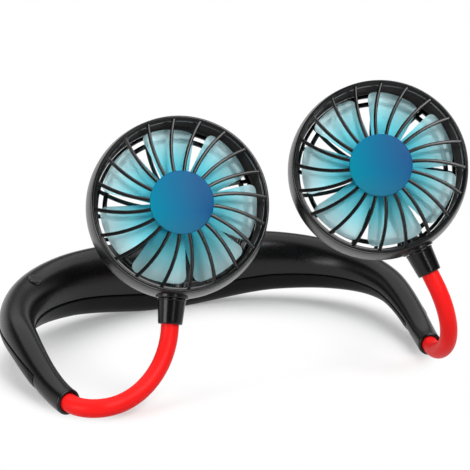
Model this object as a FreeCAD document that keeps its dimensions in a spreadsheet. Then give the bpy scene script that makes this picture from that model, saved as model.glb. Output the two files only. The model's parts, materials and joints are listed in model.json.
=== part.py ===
import FreeCAD, Part
import math
import os
import Sketcher
from FreeCAD import Matrix, Placement, Rotation, Vector

# A neck fan: a hollow U-shaped neckband that rests on its back and its two tips, and two flexible
# arms, each with a caged fan head. Millimetres and degrees. The origin is the middle of the flat
# foot under the back, +Z is up and the arms point along -Y.

SIZES = {
    # Neckband, plan line: three tangent arcs from the middle of the back to each tip
    "back_arc_radius": 133.4,
    "back_arc_angle": 19.8,
    "shoulder_arc_radius": 58.6,
    "shoulder_arc_angle": 71.8,
    "arm_arc_radius": 160.0,
    "arm_arc_angle": 15.1,
    # Neckband, section: half width, top and bottom at the back, the shoulder, the arm and the tip
    "shoulder_station": 53.0,
    "arm_station": 115.0,
    "back_half_width": 9.6,
    "shoulder_half_width": 9.6,
    "arm_half_width": 6.6,
    "tip_radius": 5.2,
    "back_top": 32.8,
    "shoulder_top": 33.0,
    "arm_top": 25.0,
    "shoulder_bottom": 5.9,
    "arm_bottom": 9.6,
    "foot_depth": 0.5,
    "tip_pitch": 4.0,
    "shell_wall": 1.8,
    "cavity_end_margin": 11.0,
    # Seam between the two shells: its height over the underside, and where the lower shell ends
    "seam_rise_back": 10.0,
    "seam_rise_shoulder": 9.0,
    "seam_rise_arm": 5.8,
    "seam_end_margin": 21.0,
    "seam_gap": 0.3,
    "tray_proud": 0.7,
    # Screws that hold the shells together
    "screw_station_back": 36.0,
    "screw_station_arm": 98.0,
    "screw_radius": 1.0,
    "screw_head_radius": 1.7,
    "screw_head_height": 1.3,
    "screw_recess": 2.2,
    "screw_bite": 5.0,
    "boss_radius": 2.5,
    "screw_clearance": 0.05,
    # Battery, boards and sockets inside the neckband
    "battery_length": 52.0,
    "battery_headroom": 5.0,
    "battery_thickness": 8.0,
    "battery_bottom": 7.0,
    "cradle_spacing": 34.0,
    "cradle_thickness": 2.0,
    "seat_clearance": 0.2,
    "board_thickness": 1.2,
    "board_width": 6.4,
    "board_length": 16.0,
    "post_radius": 1.2,
    "post_margin": 0.5,
    "switch_side": 4.0,
    "switch_height": 1.6,
    "button_station": 80.0,
    "button_inset": 3.3,
    "button_length": 6.6,
    "button_width": 5.6,
    "button_rise": 0.7,
    "button_round": 0.5,
    "button_travel": 0.6,
    "button_foot": 0.8,
    "button_gap": 0.25,
    "usb_station": 54.0,
    "usb_width": 9.0,
    "usb_height": 3.2,
    "usb_depth": 7.4,
    "usb_level": 20.0,
    "usb_recess": 0.6,
    "usb_wall": 0.4,
    "usb_back": 1.2,
    "led_radius": 1.0,
    "led_offset": 8.0,
    "led_tail": 1.5,
    "led_proud": 0.1,
    # Flexible arms: a steel core in a red sleeve, two arcs and a straight end each
    "core_radius": 2.4,
    "core_clearance": 0.2,
    "sleeve_wall": 0.8,
    "core_gap": 1.4,
    "root_depth": 9.0,
    "sleeve_clearance": 0.1,
    "left_roll_lower": -82.7,
    "left_radius_lower": 13.9,
    "left_angle_lower": 90.2,
    "left_roll_upper": 69.7,
    "left_radius_upper": 30.9,
    "left_angle_upper": 65.7,
    "left_straight": 2.0,
    "left_head_roll": 62.8,
    "right_roll_lower": -3.3,
    "right_radius_lower": 26.6,
    "right_angle_lower": 41.5,
    "right_roll_upper": 26.8,
    "right_radius_upper": 24.8,
    "right_angle_upper": 78.2,
    "right_straight": 4.9,
    "right_head_roll": 164.1,
    # Collar between an arm and its fan head
    "collar_foot_radius": 4.6,
    "collar_neck_radius": 5.4,
    "collar_edge": 0.3,
    "socket_depth": 3.4,
    "collar_web": 1.0,
    "swivel_depth": 4.2,
    "wire_hole_radius": 1.5,
    "stem_radius": 4.0,
    "swivel_clearance": 0.06,
    "collar_gap": 0.4,
    # Fan head: drum, front grille, cap and rear grille
    "fan_radius": 33.4,
    "drum_wall_arc": 34.0,
    "boss_rise": 2.5,
    "boss_width": 12.4,
    "stem_root": 0.5,
    "drum_front": 7.5,
    "drum_rear": 10.0,
    "drum_wall": 1.6,
    "drum_flare": 1.0,
    "head_gap": 6.0,
    "rim_height": 2.5,
    "rim_width": 1.9,
    "dome_rise": 1.6,
    "dome_bulge": 0.3,
    "dome_thickness": 1.8,
    "grille_hub_radius": 11.6,
    "grille_hub_width": 4.2,
    "spoke_count": 20,
    "spoke_width": 1.5,
    "spoke_sweep": 9.0,
    "spoke_root": 0.6,
    "cap_radius": 12.0,
    "cap_edge": 0.9,
    "cap_dome_radius": 90.0,
    "spigot_length": 1.5,
    "rear_ring_width": 1.8,
    "rear_rim_width": 1.4,
    "rear_rim_gap": 1.6,
    "rear_thickness": 1.8,
    "rear_hub_lip": 1.2,
    "duct_width": 7.0,
    "cup_wall": 1.2,
    "cup_height": 4.0,
    # Motor and impeller
    "motor_radius": 7.5,
    "motor_length": 9.6,
    "motor_clearance": 0.1,
    "bush_radius": 2.0,
    "bush_length": 1.6,
    "bush_depth": 1.2,
    "shaft_radius": 1.0,
    "shaft_clearance": 0.05,
    "shaft_end_gap": 0.6,
    "hub_gap": 1.5,
    "hub_wall": 1.2,
    "hub_running_gap": 1.0,
    "hub_length": 7.6,
    "hub_boss_radius": 2.4,
    "hub_boss_length": 1.2,
    "blade_count": 7,
    "blade_tip_gap": 2.0,
    "blade_thickness": 1.2,
    "blade_root_chord": 10.5,
    "blade_tip_chord": 22.0,
    "blade_root_pitch": 36.0,
    "blade_tip_pitch": 20.0,
    "lead_radius": 0.9,
    "motor_screw_radius": 0.8,
    "motor_screw_head_radius": 1.5,
    "motor_screw_head_height": 1.0,
    "motor_screw_bite": 2.0,
    "motor_screw_spacing": 9.0,
}

BAND_SECTIONS = 10
SIDES = {"left": -1, "right": 1}
UP = Vector(0, 0, 1)

doc = FreeCAD.newDocument("NeckFan")
sheet = doc.addObject("Spreadsheet::Sheet", "Sizes")
for row, (alias, number) in enumerate(SIZES.items(), start=1):
    sheet.set(f"A{row}", alias)
    sheet.set(f"B{row}", str(number))
    sheet.setAlias(f"B{row}", alias)
doc.recompute()


class Size:
    """A number with the expression that gives it, so that a sketch can be drawn and bound."""

    def __init__(self, text, value):
        self.text = text
        self.value = value

    def __add__(self, other):
        other = as_size(other)
        return Size(f"({self.text} + {other.text})", self.value + other.value)

    def __sub__(self, other):
        other = as_size(other)
        return Size(f"({self.text} - {other.text})", self.value - other.value)

    def __mul__(self, factor):
        return Size(f"({self.text} * {factor})", self.value * factor)

    def __neg__(self):
        return self * -1


def as_size(number):
    return number if isinstance(number, Size) else Size(str(number), float(number))


def size(alias):
    return Size(f"Sizes.{alias}", float(sheet.get(alias)))


def mm(alias):
    return float(sheet.get(alias))


ZERO = as_size(0)
pieces = {}

# Sizes that follow from others: arms and collars, then drums, then motors and impellers
SLEEVE_BORE = size("core_radius") + size("core_clearance")
SLEEVE_RADIUS = SLEEVE_BORE + size("sleeve_wall")
COLLAR_LENGTH = size("socket_depth") + size("collar_web") + size("swivel_depth")
DRUM_INNER = size("fan_radius") - size("drum_wall")
BOSS_REACH = size("fan_radius") + size("boss_rise")
MOTOR_FOOT = size("rear_thickness") - size("drum_rear")
MOTOR_CROWN = MOTOR_FOOT + size("motor_length")
CUP_INNER = size("motor_radius") + size("motor_clearance")
BUSH_LOW = MOTOR_CROWN - size("bush_depth")
BUSH_HIGH = BUSH_LOW + size("bush_length")
HUB_BOSS_LOW = BUSH_HIGH + size("hub_running_gap")
HUB_FRONT = HUB_BOSS_LOW + size("hub_boss_length") + size("hub_wall")
HUB_REAR = HUB_FRONT - size("hub_length")
HUB_RADIUS = size("motor_radius") + size("hub_gap") + size("hub_wall")
SHAFT_TAIL = MOTOR_FOOT + size("shaft_end_gap")


def keep(node, thing, placement=None):
    """Names a finished piece after its node and puts it in its place."""
    thing.Label = node
    if placement is not None:
        thing.Placement = placement
    pieces[node] = thing
    return thing


def keep_shape(node, shape):
    """A piece that is made by functions, already where it belongs."""
    thing = doc.addObject("Part::Feature", node)
    thing.Shape = shape
    return keep(node, thing)


# Sketches and bodies


def plane_of(body, role):
    return next(part for part in body.Origin.OriginFeatures if part.Role == role)


def bind(sketch, kind, first, position, amount):
    """Holds one coordinate of a corner to a size."""
    if amount.value == 0 and amount.text == "0":
        axis = -2 if kind == "DistanceX" else -1
        sketch.addConstraint(Sketcher.Constraint("PointOnObject", first, position, axis))
        return
    number = sketch.addConstraint(
        Sketcher.Constraint(kind, -1, 1, first, position, amount.value)
    )
    sketch.setExpression(f"Constraints[{number}]", amount.text)


def arc_through(start, end, radius):
    """A flat arc, anticlockwise from start to end, less than a half circle."""
    chord = end - start
    height = math.sqrt(radius ** 2 - (chord.Length / 2) ** 2)
    inward = Vector(-chord.y, chord.x, 0).normalize()
    centre = (start + end) * 0.5 + inward * height
    first = math.atan2(start.y - centre.y, start.x - centre.x)
    last = math.atan2(end.y - centre.y, end.x - centre.x)
    return Part.ArcOfCircle(Part.Circle(centre, UP, radius), first, last)


def outline(body, name, role, corners, arcs=None):
    """A closed sketch of lines through bound corners. arcs maps an edge's number to its radius."""
    arcs = arcs or {}
    sketch = body.newObject("Sketcher::SketchObject", name)
    sketch.AttachmentSupport = [(plane_of(body, role), "")]
    sketch.MapMode = "FlatFace"
    points = [Vector(x.value, y.value, 0) for x, y in corners]
    count = len(points)
    for number, start in enumerate(points):
        end = points[(number + 1) % count]
        if number in arcs:
            sketch.addGeometry(arc_through(start, end, arcs[number].value))
        else:
            sketch.addGeometry(Part.LineSegment(start, end))
    for number in range(count):
        following = (number + 1) % count
        sketch.addConstraint(Sketcher.Constraint("Coincident", number, 2, following, 1))
    for number, (x, y) in enumerate(corners):
        bind(sketch, "DistanceX", number, 1, x)
        bind(sketch, "DistanceY", number, 1, y)
    for number, radius in arcs.items():
        held = sketch.addConstraint(Sketcher.Constraint("Radius", number, radius.value))
        sketch.setExpression(f"Constraints[{held}]", radius.text)
    return sketch


def turned(node, corners, arcs=None):
    """A body turned about its Z axis from corners given as radius and height."""
    body = doc.addObject("PartDesign::Body", node)
    sketch = outline(body, f"{node}_profile", "XZ_Plane", corners, arcs)
    turn = body.newObject("PartDesign::Revolution", f"{node}_turn")
    turn.Profile = sketch
    turn.ReferenceAxis = (sketch, ["V_Axis"])
    turn.Angle = 360
    sketch.Visibility = False
    doc.recompute()
    return body


def round_bar(body, name, role, radius, start, length, centre=None):
    """Pads a circle from start, measured along the plane's normal, by length."""
    sketch = body.newObject("Sketcher::SketchObject", f"{name}_circle")
    sketch.AttachmentSupport = [(plane_of(body, role), "")]
    sketch.MapMode = "FlatFace"
    sketch.AttachmentOffset = Placement(Vector(0, 0, start.value), Rotation())
    sketch.setExpression("AttachmentOffset.Base.z", start.text)
    x, y = centre or (ZERO, ZERO)
    sketch.addGeometry(Part.Circle(Vector(x.value, y.value, 0), UP, radius.value))
    bind(sketch, "DistanceX", 0, 3, x)
    bind(sketch, "DistanceY", 0, 3, y)
    held = sketch.addConstraint(Sketcher.Constraint("Radius", 0, radius.value))
    sketch.setExpression(f"Constraints[{held}]", radius.text)
    pad = body.newObject("PartDesign::Pad", name)
    pad.Profile = sketch
    pad.setExpression("Length", length.text)
    sketch.Visibility = False
    doc.recompute()
    return pad


def block(node, length, width, height, placement):
    """A box whose sizes are bound, centred on its placement in X and Y, standing on it."""
    box = doc.addObject("Part::Box", node)
    box.setExpression("Length", length.text)
    box.setExpression("Width", width.text)
    box.setExpression("Height", height.text)
    corner = Placement(Vector(-length.value / 2, -width.value / 2, 0), Rotation())
    return keep(node, box, placement.multiply(corner))


# Neckband path and sections

PATH_ARCS = [
    (mm("back_arc_radius"), math.radians(mm("back_arc_angle"))),
    (mm("shoulder_arc_radius"), math.radians(mm("shoulder_arc_angle"))),
    (mm("arm_arc_radius"), math.radians(mm("arm_arc_angle"))),
]
HALF_LENGTH = sum(radius * angle for radius, angle in PATH_ARCS)


def on_path(station):
    """The plan point, the direction towards the tip and the outward normal at a station.

    A station is a length along the path from the middle of the back, negative to the left.
    """
    side = -1 if station < 0 else 1
    left, x, y, heading = abs(station), 0.0, 0.0, 0.0
    for radius, angle in PATH_ARCS:
        turn = min(left / radius, angle)
        x += radius * (math.sin(heading + turn) - math.sin(heading))
        y += radius * (math.cos(heading + turn) - math.cos(heading))
        heading += turn
        left -= turn * radius
        if left <= 1e-9:
            break
    along = Vector(side * math.cos(heading), -math.sin(heading), 0)
    outward = Vector(side * math.sin(heading), math.cos(heading), 0)
    return Vector(side * x, y, 0), along, outward


KNOTS = [0.0, mm("shoulder_station"), mm("arm_station"), HALF_LENGTH]
TIP_SLOPE = -math.tan(math.radians(mm("tip_pitch")))


def smooth(values, end_slope, station):
    """A smooth line through one value per knot, level at the middle of the back."""
    place = min(abs(station), HALF_LENGTH)
    slopes = [0.0]
    for number in (1, 2):
        rise = values[number + 1] - values[number - 1]
        slopes.append(rise / (KNOTS[number + 1] - KNOTS[number - 1]))
    slopes.append(end_slope)
    number = max(i for i in range(3) if KNOTS[i] <= place)
    span = KNOTS[number + 1] - KNOTS[number]
    part = (place - KNOTS[number]) / span
    start, end = values[number], values[number + 1]
    return (
        start * (1 + 2 * part) * (1 - part) ** 2
        + slopes[number] * span * part * (1 - part) ** 2
        + end * part ** 2 * (3 - 2 * part)
        + slopes[number + 1] * span * part ** 2 * (part - 1)
    )


HALF_WIDTHS = [mm("back_half_width"), mm("shoulder_half_width"), mm("arm_half_width"), mm("tip_radius")]
TOPS = [mm("back_top"), mm("shoulder_top"), mm("arm_top"), 2 * mm("tip_radius")]
BOTTOMS = [-mm("foot_depth"), mm("shoulder_bottom"), mm("arm_bottom"), 0.0]
SEAM_RISES = [mm("seam_rise_back"), mm("seam_rise_shoulder"), mm("seam_rise_arm"), mm("seam_rise_arm")]


def half_width(station):
    return smooth(HALF_WIDTHS, 0.0, station)


def top(station):
    return smooth(TOPS, TIP_SLOPE, station)


def bottom(station):
    return smooth(BOTTOMS, TIP_SLOPE, station)


def seam(station):
    return bottom(station) + smooth(SEAM_RISES, 0.0, station)


def oval(station, inset):
    """The neckband's section at a station, an upright oval, drawn in by inset."""
    point, along, outward = on_path(station)
    wide = half_width(station) - inset
    tall = (top(station) - bottom(station)) / 2 - inset
    middle = point + UP * ((top(station) + bottom(station)) / 2)
    across = outward * wide
    normal = outward.cross(UP)
    grid = Matrix(
        across.x, 0, normal.x, middle.x,
        across.y, 0, normal.y, middle.y,
        0, tall, normal.z, middle.z,
        0, 0, 0, 1,
    )
    circle = Part.Circle(Vector(), UP, 1).toShape()
    return Part.Wire([circle.transformGeometry(grid)])


def band_solid(reach, inset):
    """The neckband's form from one station to its mirror, with its sections drawn in by inset."""
    stations = [reach * number / BAND_SECTIONS for number in range(-BAND_SECTIONS, BAND_SECTIONS + 1)]
    return Part.makeLoft([oval(station, inset) for station in stations], True, False)


def station_frame(station, height):
    """A frame on the path: X along the band, Y outward, Z up."""
    point, along, outward = on_path(station)
    forward = outward.cross(UP)
    return Placement(point + UP * height, Rotation(forward, outward, UP, "ZXY"))


def upright(station, radius, low, high):
    point = on_path(station)[0]
    return Part.makeCylinder(radius, high - low, point + UP * low)


def seam_prism(drop):
    """Everything below the seam and behind the lower shell's ends, lowered and shortened by drop."""
    far = 2 * HALF_LENGTH
    end_station = HALF_LENGTH - mm("seam_end_margin")
    stations = [0.0, mm("shoulder_station"), mm("arm_station"), end_station]
    line = [Vector(0, on_path(s)[0].y, seam(s) - drop) for s in stations]
    line[-1].y += drop
    curve = Part.BSplineCurve()
    curve.interpolate(line)
    back = Vector(0, far, line[0].z)
    low_back = Vector(0, far, -far)
    low_front = Vector(0, line[-1].y, -far)
    edges = [
        curve.toShape(),
        Part.makeLine(line[-1], low_front),
        Part.makeLine(low_front, low_back),
        Part.makeLine(low_back, back),
        Part.makeLine(back, line[0]),
    ]
    face = Part.Face(Part.Wire(Part.__sortEdges__(edges)))
    face.translate(Vector(-far, 0, 0))
    return face.extrude(Vector(2 * far, 0, 0))


def tip_frame(side):
    """Where an arm leaves the band: the middle of the tip's end face, and the way it points."""
    point, along, outward = on_path(SIDES[side] * HALF_LENGTH)
    pitch = math.radians(mm("tip_pitch"))
    return point + UP * mm("tip_radius"), along * math.cos(pitch) - UP * math.sin(pitch)


def neckband():
    """The upper and lower shells, their bosses, posts, ribs and holes."""
    reach = mm("shoulder_station")
    under_floor = Part.makeBox(2 * reach, 2 * reach, reach, Vector(-reach, -reach, -reach))
    outer = band_solid(HALF_LENGTH, 0).cut(under_floor)
    swollen = band_solid(HALF_LENGTH, -mm("tray_proud")).cut(under_floor)
    cavity = band_solid(HALF_LENGTH - mm("cavity_end_margin"), mm("shell_wall"))
    upper = outer.cut(cavity).cut(seam_prism(0))
    lower = swollen.cut(cavity).common(seam_prism(mm("seam_gap")))
    skin = mm("shell_wall") / 2
    shank = mm("screw_radius") + mm("screw_clearance")
    recess = mm("screw_head_radius") + mm("screw_clearance")
    for station in screw_stations():
        low, high, split = bottom(station), top(station), seam(station)
        boss = upright(station, mm("boss_radius"), split, high - skin).common(outer)
        upper = upper.fuse(boss).cut(upright(station, shank, low, split + mm("screw_bite")))
        pillar = upright(station, mm("boss_radius"), low, split - mm("seam_gap")).common(outer)
        lower = lower.fuse(pillar).cut(upright(station, shank, low - skin, high))
        lower = lower.cut(upright(station, recess, low - skin, low + mm("screw_recess")))
    wall_middle = band_solid(HALF_LENGTH, skin)
    for spot in board_posts():
        post = Part.makeCylinder(mm("post_radius"), mm("shoulder_top"))
        post.Placement = spot
        upper = upper.fuse(post.common(wall_middle))
    for side in SIDES:
        point, way = tip_frame(side)
        bore = SLEEVE_RADIUS.value + mm("sleeve_clearance")
        depth = mm("cavity_end_margin") + 2 * mm("shell_wall")
        start = point + way * mm("shell_wall")
        upper = upper.cut(Part.makeCylinder(bore, depth, start, way * -1))
    upper = upper.cut(button_rod(mm("button_gap")))
    upper = upper.cut(usb_box(mm("seat_clearance"), mm("shell_wall")))
    upper = upper.cut(led_rod(mm("screw_clearance"), mm("shell_wall")))
    width = 2 * mm("back_half_width")
    for x in (-mm("cradle_spacing") / 2, mm("cradle_spacing") / 2):
        corner = Vector(x - mm("cradle_thickness") / 2, -width, 0)
        rib = Part.makeBox(mm("cradle_thickness"), 2 * width, mm("battery_bottom"), corner)
        lower = lower.fuse(rib.common(outer))
    keep_shape("upper_shell", biggest(upper))
    keep_shape("lower_shell", biggest(lower))


def screw_stations():
    stations = [mm("screw_station_back"), mm("screw_station_arm")]
    return stations + [-station for station in stations]


def biggest(shape):
    """The largest solid of a shape: a cut can leave crumbs of a boss behind."""
    return max(shape.Solids, key=lambda solid: solid.Volume)


def screws(node, spots, radius, head_radius, head_height):
    """A group of screws. Each spot is the frame under a head, with Z along the shank, and a length."""
    made = []
    for spot, reach in spots:
        head = Part.makeCylinder(head_radius, head_height, Vector(0, 0, -head_height))
        shank = Part.makeCylinder(radius, reach - mm("seat_clearance"))
        screw = head.fuse(shank).removeSplitter()
        screw.Placement = spot
        made.append(screw)
    keep_shape(node, Part.makeCompound(made))


# What the neckband holds

BUTTON_STATION = -mm("button_station")
USB_STATION = mm("usb_station")
LED_STATION = mm("usb_station") + mm("led_offset")


def button_frame(height):
    """On the band's top, inward of its ridge: X along the band, Z square out of the surface."""
    wide = half_width(BUTTON_STATION)
    tall = (top(BUTTON_STATION) - bottom(BUTTON_STATION)) / 2
    turn = math.asin(mm("button_inset") / wide)
    lean = math.degrees(math.atan(math.tan(turn) * tall / wide))
    surface = station_frame(BUTTON_STATION, bottom(BUTTON_STATION) + tall * (1 + math.cos(turn)))
    surface = surface.multiply(Placement(Vector(0, -mm("button_inset"), 0), Rotation(Vector(1, 0, 0), lean)))
    return surface.multiply(Placement(Vector(0, 0, height), Rotation()))


def button_seat():
    """The height of the button's foot over the surface at rest."""
    return -mm("shell_wall") - mm("button_foot") - mm("button_gap")


def button_rod(gap, rounding=0):
    """The button's shaft through the shell, grown by gap all round."""
    edge = Part.Ellipse(Vector(), mm("button_length") / 2 + gap, mm("button_width") / 2 + gap).toShape()
    low, high = button_seat() - gap, mm("button_rise") + gap
    rod = Part.Face(Part.Wire([edge])).extrude(UP * (high - low))
    if rounding:
        rim = [line for line in rod.Edges if abs(line.CenterOfMass.z - (high - low)) < rounding]
        rod = rod.makeFillet(rounding, rim)
    rod.Placement = button_frame(low)
    return rod


def board_level():
    """The top of the control board over the surface, under the switch and the button's foot."""
    return button_seat() - mm("button_travel") - mm("button_gap") - mm("switch_height")


def board_posts():
    """The frames of the posts that the two boards hang from, each on its board's top."""
    reach = mm("board_length") / 2 - mm("post_radius") - mm("post_margin")
    for board in (button_frame(board_level()), station_frame(USB_STATION, mm("usb_level"))):
        for offset in (-reach, reach):
            yield board.multiply(Placement(Vector(offset, 0, 0), Rotation()))


def usb_box(gap, lengthen):
    """The charging socket, lying in the outer wall with its mouth outward."""
    wide, tall = mm("usb_width") + 2 * gap, mm("usb_height") + 2 * gap
    back = half_width(USB_STATION) - mm("usb_recess") - mm("usb_depth")
    box = Part.makeBox(wide, mm("usb_depth") + lengthen, tall, Vector(-wide / 2, back, -gap))
    box.Placement = station_frame(USB_STATION, mm("usb_level"))
    return box


def usb_socket():
    wall = mm("usb_wall")
    mouth = usb_box(-wall, mm("usb_depth"))
    mouth.translate(on_path(USB_STATION)[2] * mm("usb_back"))
    keep_shape("usb_socket", usb_box(0, 0).cut(mouth))


def led_rod(gap, lengthen):
    """The charge light's clear rod in the outer wall, its end just proud of it."""
    outer = half_width(LED_STATION)
    start = outer - mm("shell_wall") - mm("led_tail")
    length = outer + mm("led_proud") + lengthen - start
    rod = Part.makeCylinder(mm("led_radius") + gap, length, Vector(0, start, 0), Vector(0, 1, 0))
    rod.Placement = station_frame(LED_STATION, (top(LED_STATION) + bottom(LED_STATION)) / 2)
    return rod


# The battery's flat side follows the curve of the back
BATTERY_Y = -(mm("battery_length") / 2) ** 2 / (4 * mm("back_arc_radius"))


def band_contents():
    level = size("battery_bottom")
    tall = size("back_top") - size("shell_wall") - size("battery_headroom") - level
    spot = Placement(Vector(0, BATTERY_Y, level.value), Rotation())
    block("battery_pack", size("battery_length"), size("battery_thickness"), tall, spot)
    boards = {
        "control_board": button_frame(board_level() - mm("board_thickness")),
        "charge_board": station_frame(USB_STATION, mm("usb_level") - mm("board_thickness")),
    }
    for node, spot in boards.items():
        block(node, size("board_length"), size("board_width"), size("board_thickness"), spot)
    block("tact_switch", size("switch_side"), size("switch_side"), size("switch_height"),
          button_frame(board_level()))
    keep_shape("power_button", button_rod(0, mm("button_round")))
    usb_socket()
    keep_shape("charge_light", led_rod(0, 0))
    spots = []
    for station in screw_stations():
        point = on_path(station)[0] + UP * (bottom(station) + mm("screw_recess"))
        spots.append((Placement(point, Rotation()), seam(station) + mm("screw_bite") - point.z))
    screws("shell_screws", spots, mm("screw_radius"), mm("screw_head_radius"), mm("screw_head_height"))


# Flexible arms


class Arm:
    """The arm's line: a lower arc, an upper arc and a straight end, from the tip of the band.

    spread rolls the arm outward about the tip's own line, in degrees.
    """

    def __init__(self, side, spread):
        self.side = side
        self.start, self.way = tip_frame(side)
        across = UP - self.way * UP.dot(self.way)
        bend = across.normalize()
        bend = Rotation(self.way, -SIDES[side] * spread).multVec(bend)
        point, way = self.start, self.way
        self.arcs = []
        for part in ("lower", "upper"):
            radius = mm(f"{side}_radius_{part}")
            angle = math.radians(mm(f"{side}_angle_{part}"))
            bend = Rotation(way, mm(f"{side}_roll_{part}")).multVec(bend)
            centre = point + bend * radius
            axis = way.cross(bend)
            self.arcs.append((centre, bend * -1, way, axis, radius, angle))
            point = centre - bend * (radius * math.cos(angle)) + way * (radius * math.sin(angle))
            turned_way = way * math.cos(angle) + bend * math.sin(angle)
            bend = bend * math.cos(angle) - way * math.sin(angle)
            way = turned_way
        self.arc_end, self.end_way = point, way
        self.collar_foot = point + way * mm(f"{side}_straight")
        self.normal = Rotation(way, mm(f"{side}_head_roll")).multVec(bend)
        self.centre = self.collar_foot + way * (COLLAR_LENGTH.value + mm("collar_gap") + BOSS_REACH.value)

    def arc_frame(self, number, first):
        """A ring's frame: its centre, with X towards the arc's point at the angle first."""
        centre, out, way, axis, radius, angle = self.arcs[number]
        x = out * math.cos(first) + way * math.sin(first)
        y = axis.cross(x)
        return Placement(centre, Rotation(x, y, axis, "XYZ"))

    def point_on(self, number, at):
        centre, out, way, axis, radius, angle = self.arcs[number]
        return centre + (out * math.cos(at) + way * math.sin(at)) * radius

    def head_frame(self):
        """The fan head's frame: Y from the collar to the middle of the fan, Z out of its front."""
        side_way = self.end_way.cross(self.normal)
        return Placement(self.centre, Rotation(side_way, self.end_way, self.normal, "ZXY"))

    def collar_frame(self):
        side_way = self.end_way.cross(self.normal)
        return Placement(self.collar_foot, Rotation(side_way, self.normal, self.end_way, "ZXY"))


def arm_pair():
    """Both arms, rolled outward by whole degrees only where the fans would come too close."""
    apart = 2 * BOSS_REACH.value + mm("head_gap")
    for spread in range(90):
        arms = {side: Arm(side, spread) for side in SIDES}
        if arms["left"].centre.distanceToPoint(arms["right"].centre) >= apart:
            return arms
    raise ValueError("the fans don't fit beside each other")


def ring_part(name, arm, number, first, last, thickness):
    """A bent rod: a slice of a ring, from angle first to angle last in degrees."""
    side, part = arm.side, ("lower", "upper")[number]
    ring = doc.addObject("Part::Torus", name)
    ring.setExpression("Radius1", f"Sizes.{side}_radius_{part}")
    ring.setExpression("Radius2", thickness.text)
    ring.setExpression("Angle3", f"{last.text} - {first.text}")
    ring.Placement = arm.arc_frame(number, math.radians(first.value))
    return ring


def rod_part(name, start, way, radius, length):
    rod = doc.addObject("Part::Cylinder", name)
    rod.setExpression("Radius", radius.text)
    rod.setExpression("Height", length.text)
    rod.Placement = Placement(start, Rotation(UP, way))
    return rod


def fused(name, parts):
    joined = doc.addObject("Part::MultiFuse", name)
    joined.Shapes = parts
    return joined


def bored(name, body, bore):
    cut = doc.addObject("Part::Cut", name)
    cut.Base = body
    cut.Tool = bore
    return cut


def gap_angle(side, part):
    """The angle that half a core gap takes on an arc."""
    radius = size(f"{side}_radius_{part}")
    half = mm("core_gap") / 2
    text = f"(Sizes.core_gap / 2 / {radius.text} * 180 / pi)"
    return Size(text, math.degrees(half / radius.value))


def arm_pieces(arm):
    """Each stretch of the arm has a core link and a sleeve section, between the places it bends."""
    side = arm.side
    lower, upper = size(f"{side}_angle_lower"), size(f"{side}_angle_upper")
    middle = upper * 0.5
    gap_low, gap_up = gap_angle(side, "lower"), gap_angle(side, "upper")
    depth, half_gap = size("root_depth"), size("core_gap") * 0.5
    into = size(f"{side}_straight") + size("socket_depth") - size("seat_clearance")
    sleeve, bore, core = SLEEVE_RADIUS, SLEEVE_BORE, size("core_radius")
    root = arm.start - arm.way * depth.value
    keep(f"{side}_core_root", rod_part(f"{side}_core_root", root, arm.way, core, depth - half_gap))
    root_sleeve = rod_part(f"{side}_sleeve_root_skin", root, arm.way, sleeve, depth)
    root_bore = rod_part(f"{side}_sleeve_root_bore", root, arm.way, bore, depth)
    keep(f"{side}_sleeve_root", bored(f"{side}_sleeve_root", root_sleeve, root_bore))
    keep(f"{side}_core_lower", ring_part(f"{side}_core_lower", arm, 0, gap_low, lower - gap_low, core))
    keep(f"{side}_core_middle", ring_part(f"{side}_core_middle", arm, 1, gap_up, middle - gap_up, core))
    bent = ring_part(f"{side}_core_bend", arm, 1, middle + gap_up, upper, core)
    straight = rod_part(f"{side}_core_end", arm.arc_end, arm.end_way, core, into)
    keep(f"{side}_core_upper", fused(f"{side}_core_upper", [bent, straight]))
    spans = {"lower": (0, ZERO, lower), "middle": (1, ZERO, middle)}
    for part, (number, first, last) in spans.items():
        name = f"{side}_sleeve_{part}"
        skin = ring_part(f"{name}_skin", arm, number, first, last, sleeve)
        hollow = ring_part(f"{name}_bore", arm, number, first, last, bore)
        keep(name, bored(name, skin, hollow))
    name = f"{side}_sleeve_upper"
    shapes = []
    for part, radius in (("skin", sleeve), ("bore", bore)):
        bent = ring_part(f"{name}_{part}_bend", arm, 1, middle, upper, radius)
        straight = rod_part(f"{name}_{part}_end", arm.arc_end, arm.end_way, radius, into)
        shapes.append(fused(f"{name}_{part}", [bent, straight]))
    keep(name, bored(name, shapes[0], shapes[1]))


def collar(arm):
    """A tapered collar: the arm is fixed in its foot and the head's stem turns in its mouth."""
    length, mouth = COLLAR_LENGTH, size("stem_radius") + size("swivel_clearance")
    foot = SLEEVE_RADIUS + size("sleeve_clearance")
    edge = size("collar_edge")
    corners = [
        (foot, ZERO),
        (size("collar_foot_radius") - edge, ZERO),
        (size("collar_foot_radius"), edge),
        (size("collar_neck_radius"), length - edge),
        (size("collar_neck_radius") - edge, length),
        (mouth, length),
        (mouth, length - size("swivel_depth")),
        (size("wire_hole_radius"), length - size("swivel_depth")),
        (size("wire_hole_radius"), size("socket_depth")),
        (foot, size("socket_depth")),
    ]
    keep(f"{arm.side}_collar", turned(f"{arm.side}_collar", corners), arm.collar_frame())


# Fan heads


def drum(arm):
    """The head's round wall, bulging a little, with a boss and the stem that turns in the collar."""
    radius, inner = size("fan_radius"), DRUM_INNER
    rear = -size("drum_rear")
    corners = [
        (inner, rear),
        (radius + size("drum_flare"), rear),
        (radius, size("drum_front")),
        (inner, size("drum_front")),
    ]
    node = f"{arm.side}_drum"
    body = turned(node, corners, {1: size("drum_wall_arc")})
    start = inner + size("stem_root")
    stem = BOSS_REACH + size("collar_gap") + size("swivel_depth") - size("seat_clearance")
    round_bar(body, f"{node}_boss", "XZ_Plane", size("boss_width") * 0.5, start, BOSS_REACH - start)
    round_bar(body, f"{node}_stem", "XZ_Plane", size("stem_radius"), start, stem - start)
    keep(node, body, arm.head_frame())


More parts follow.
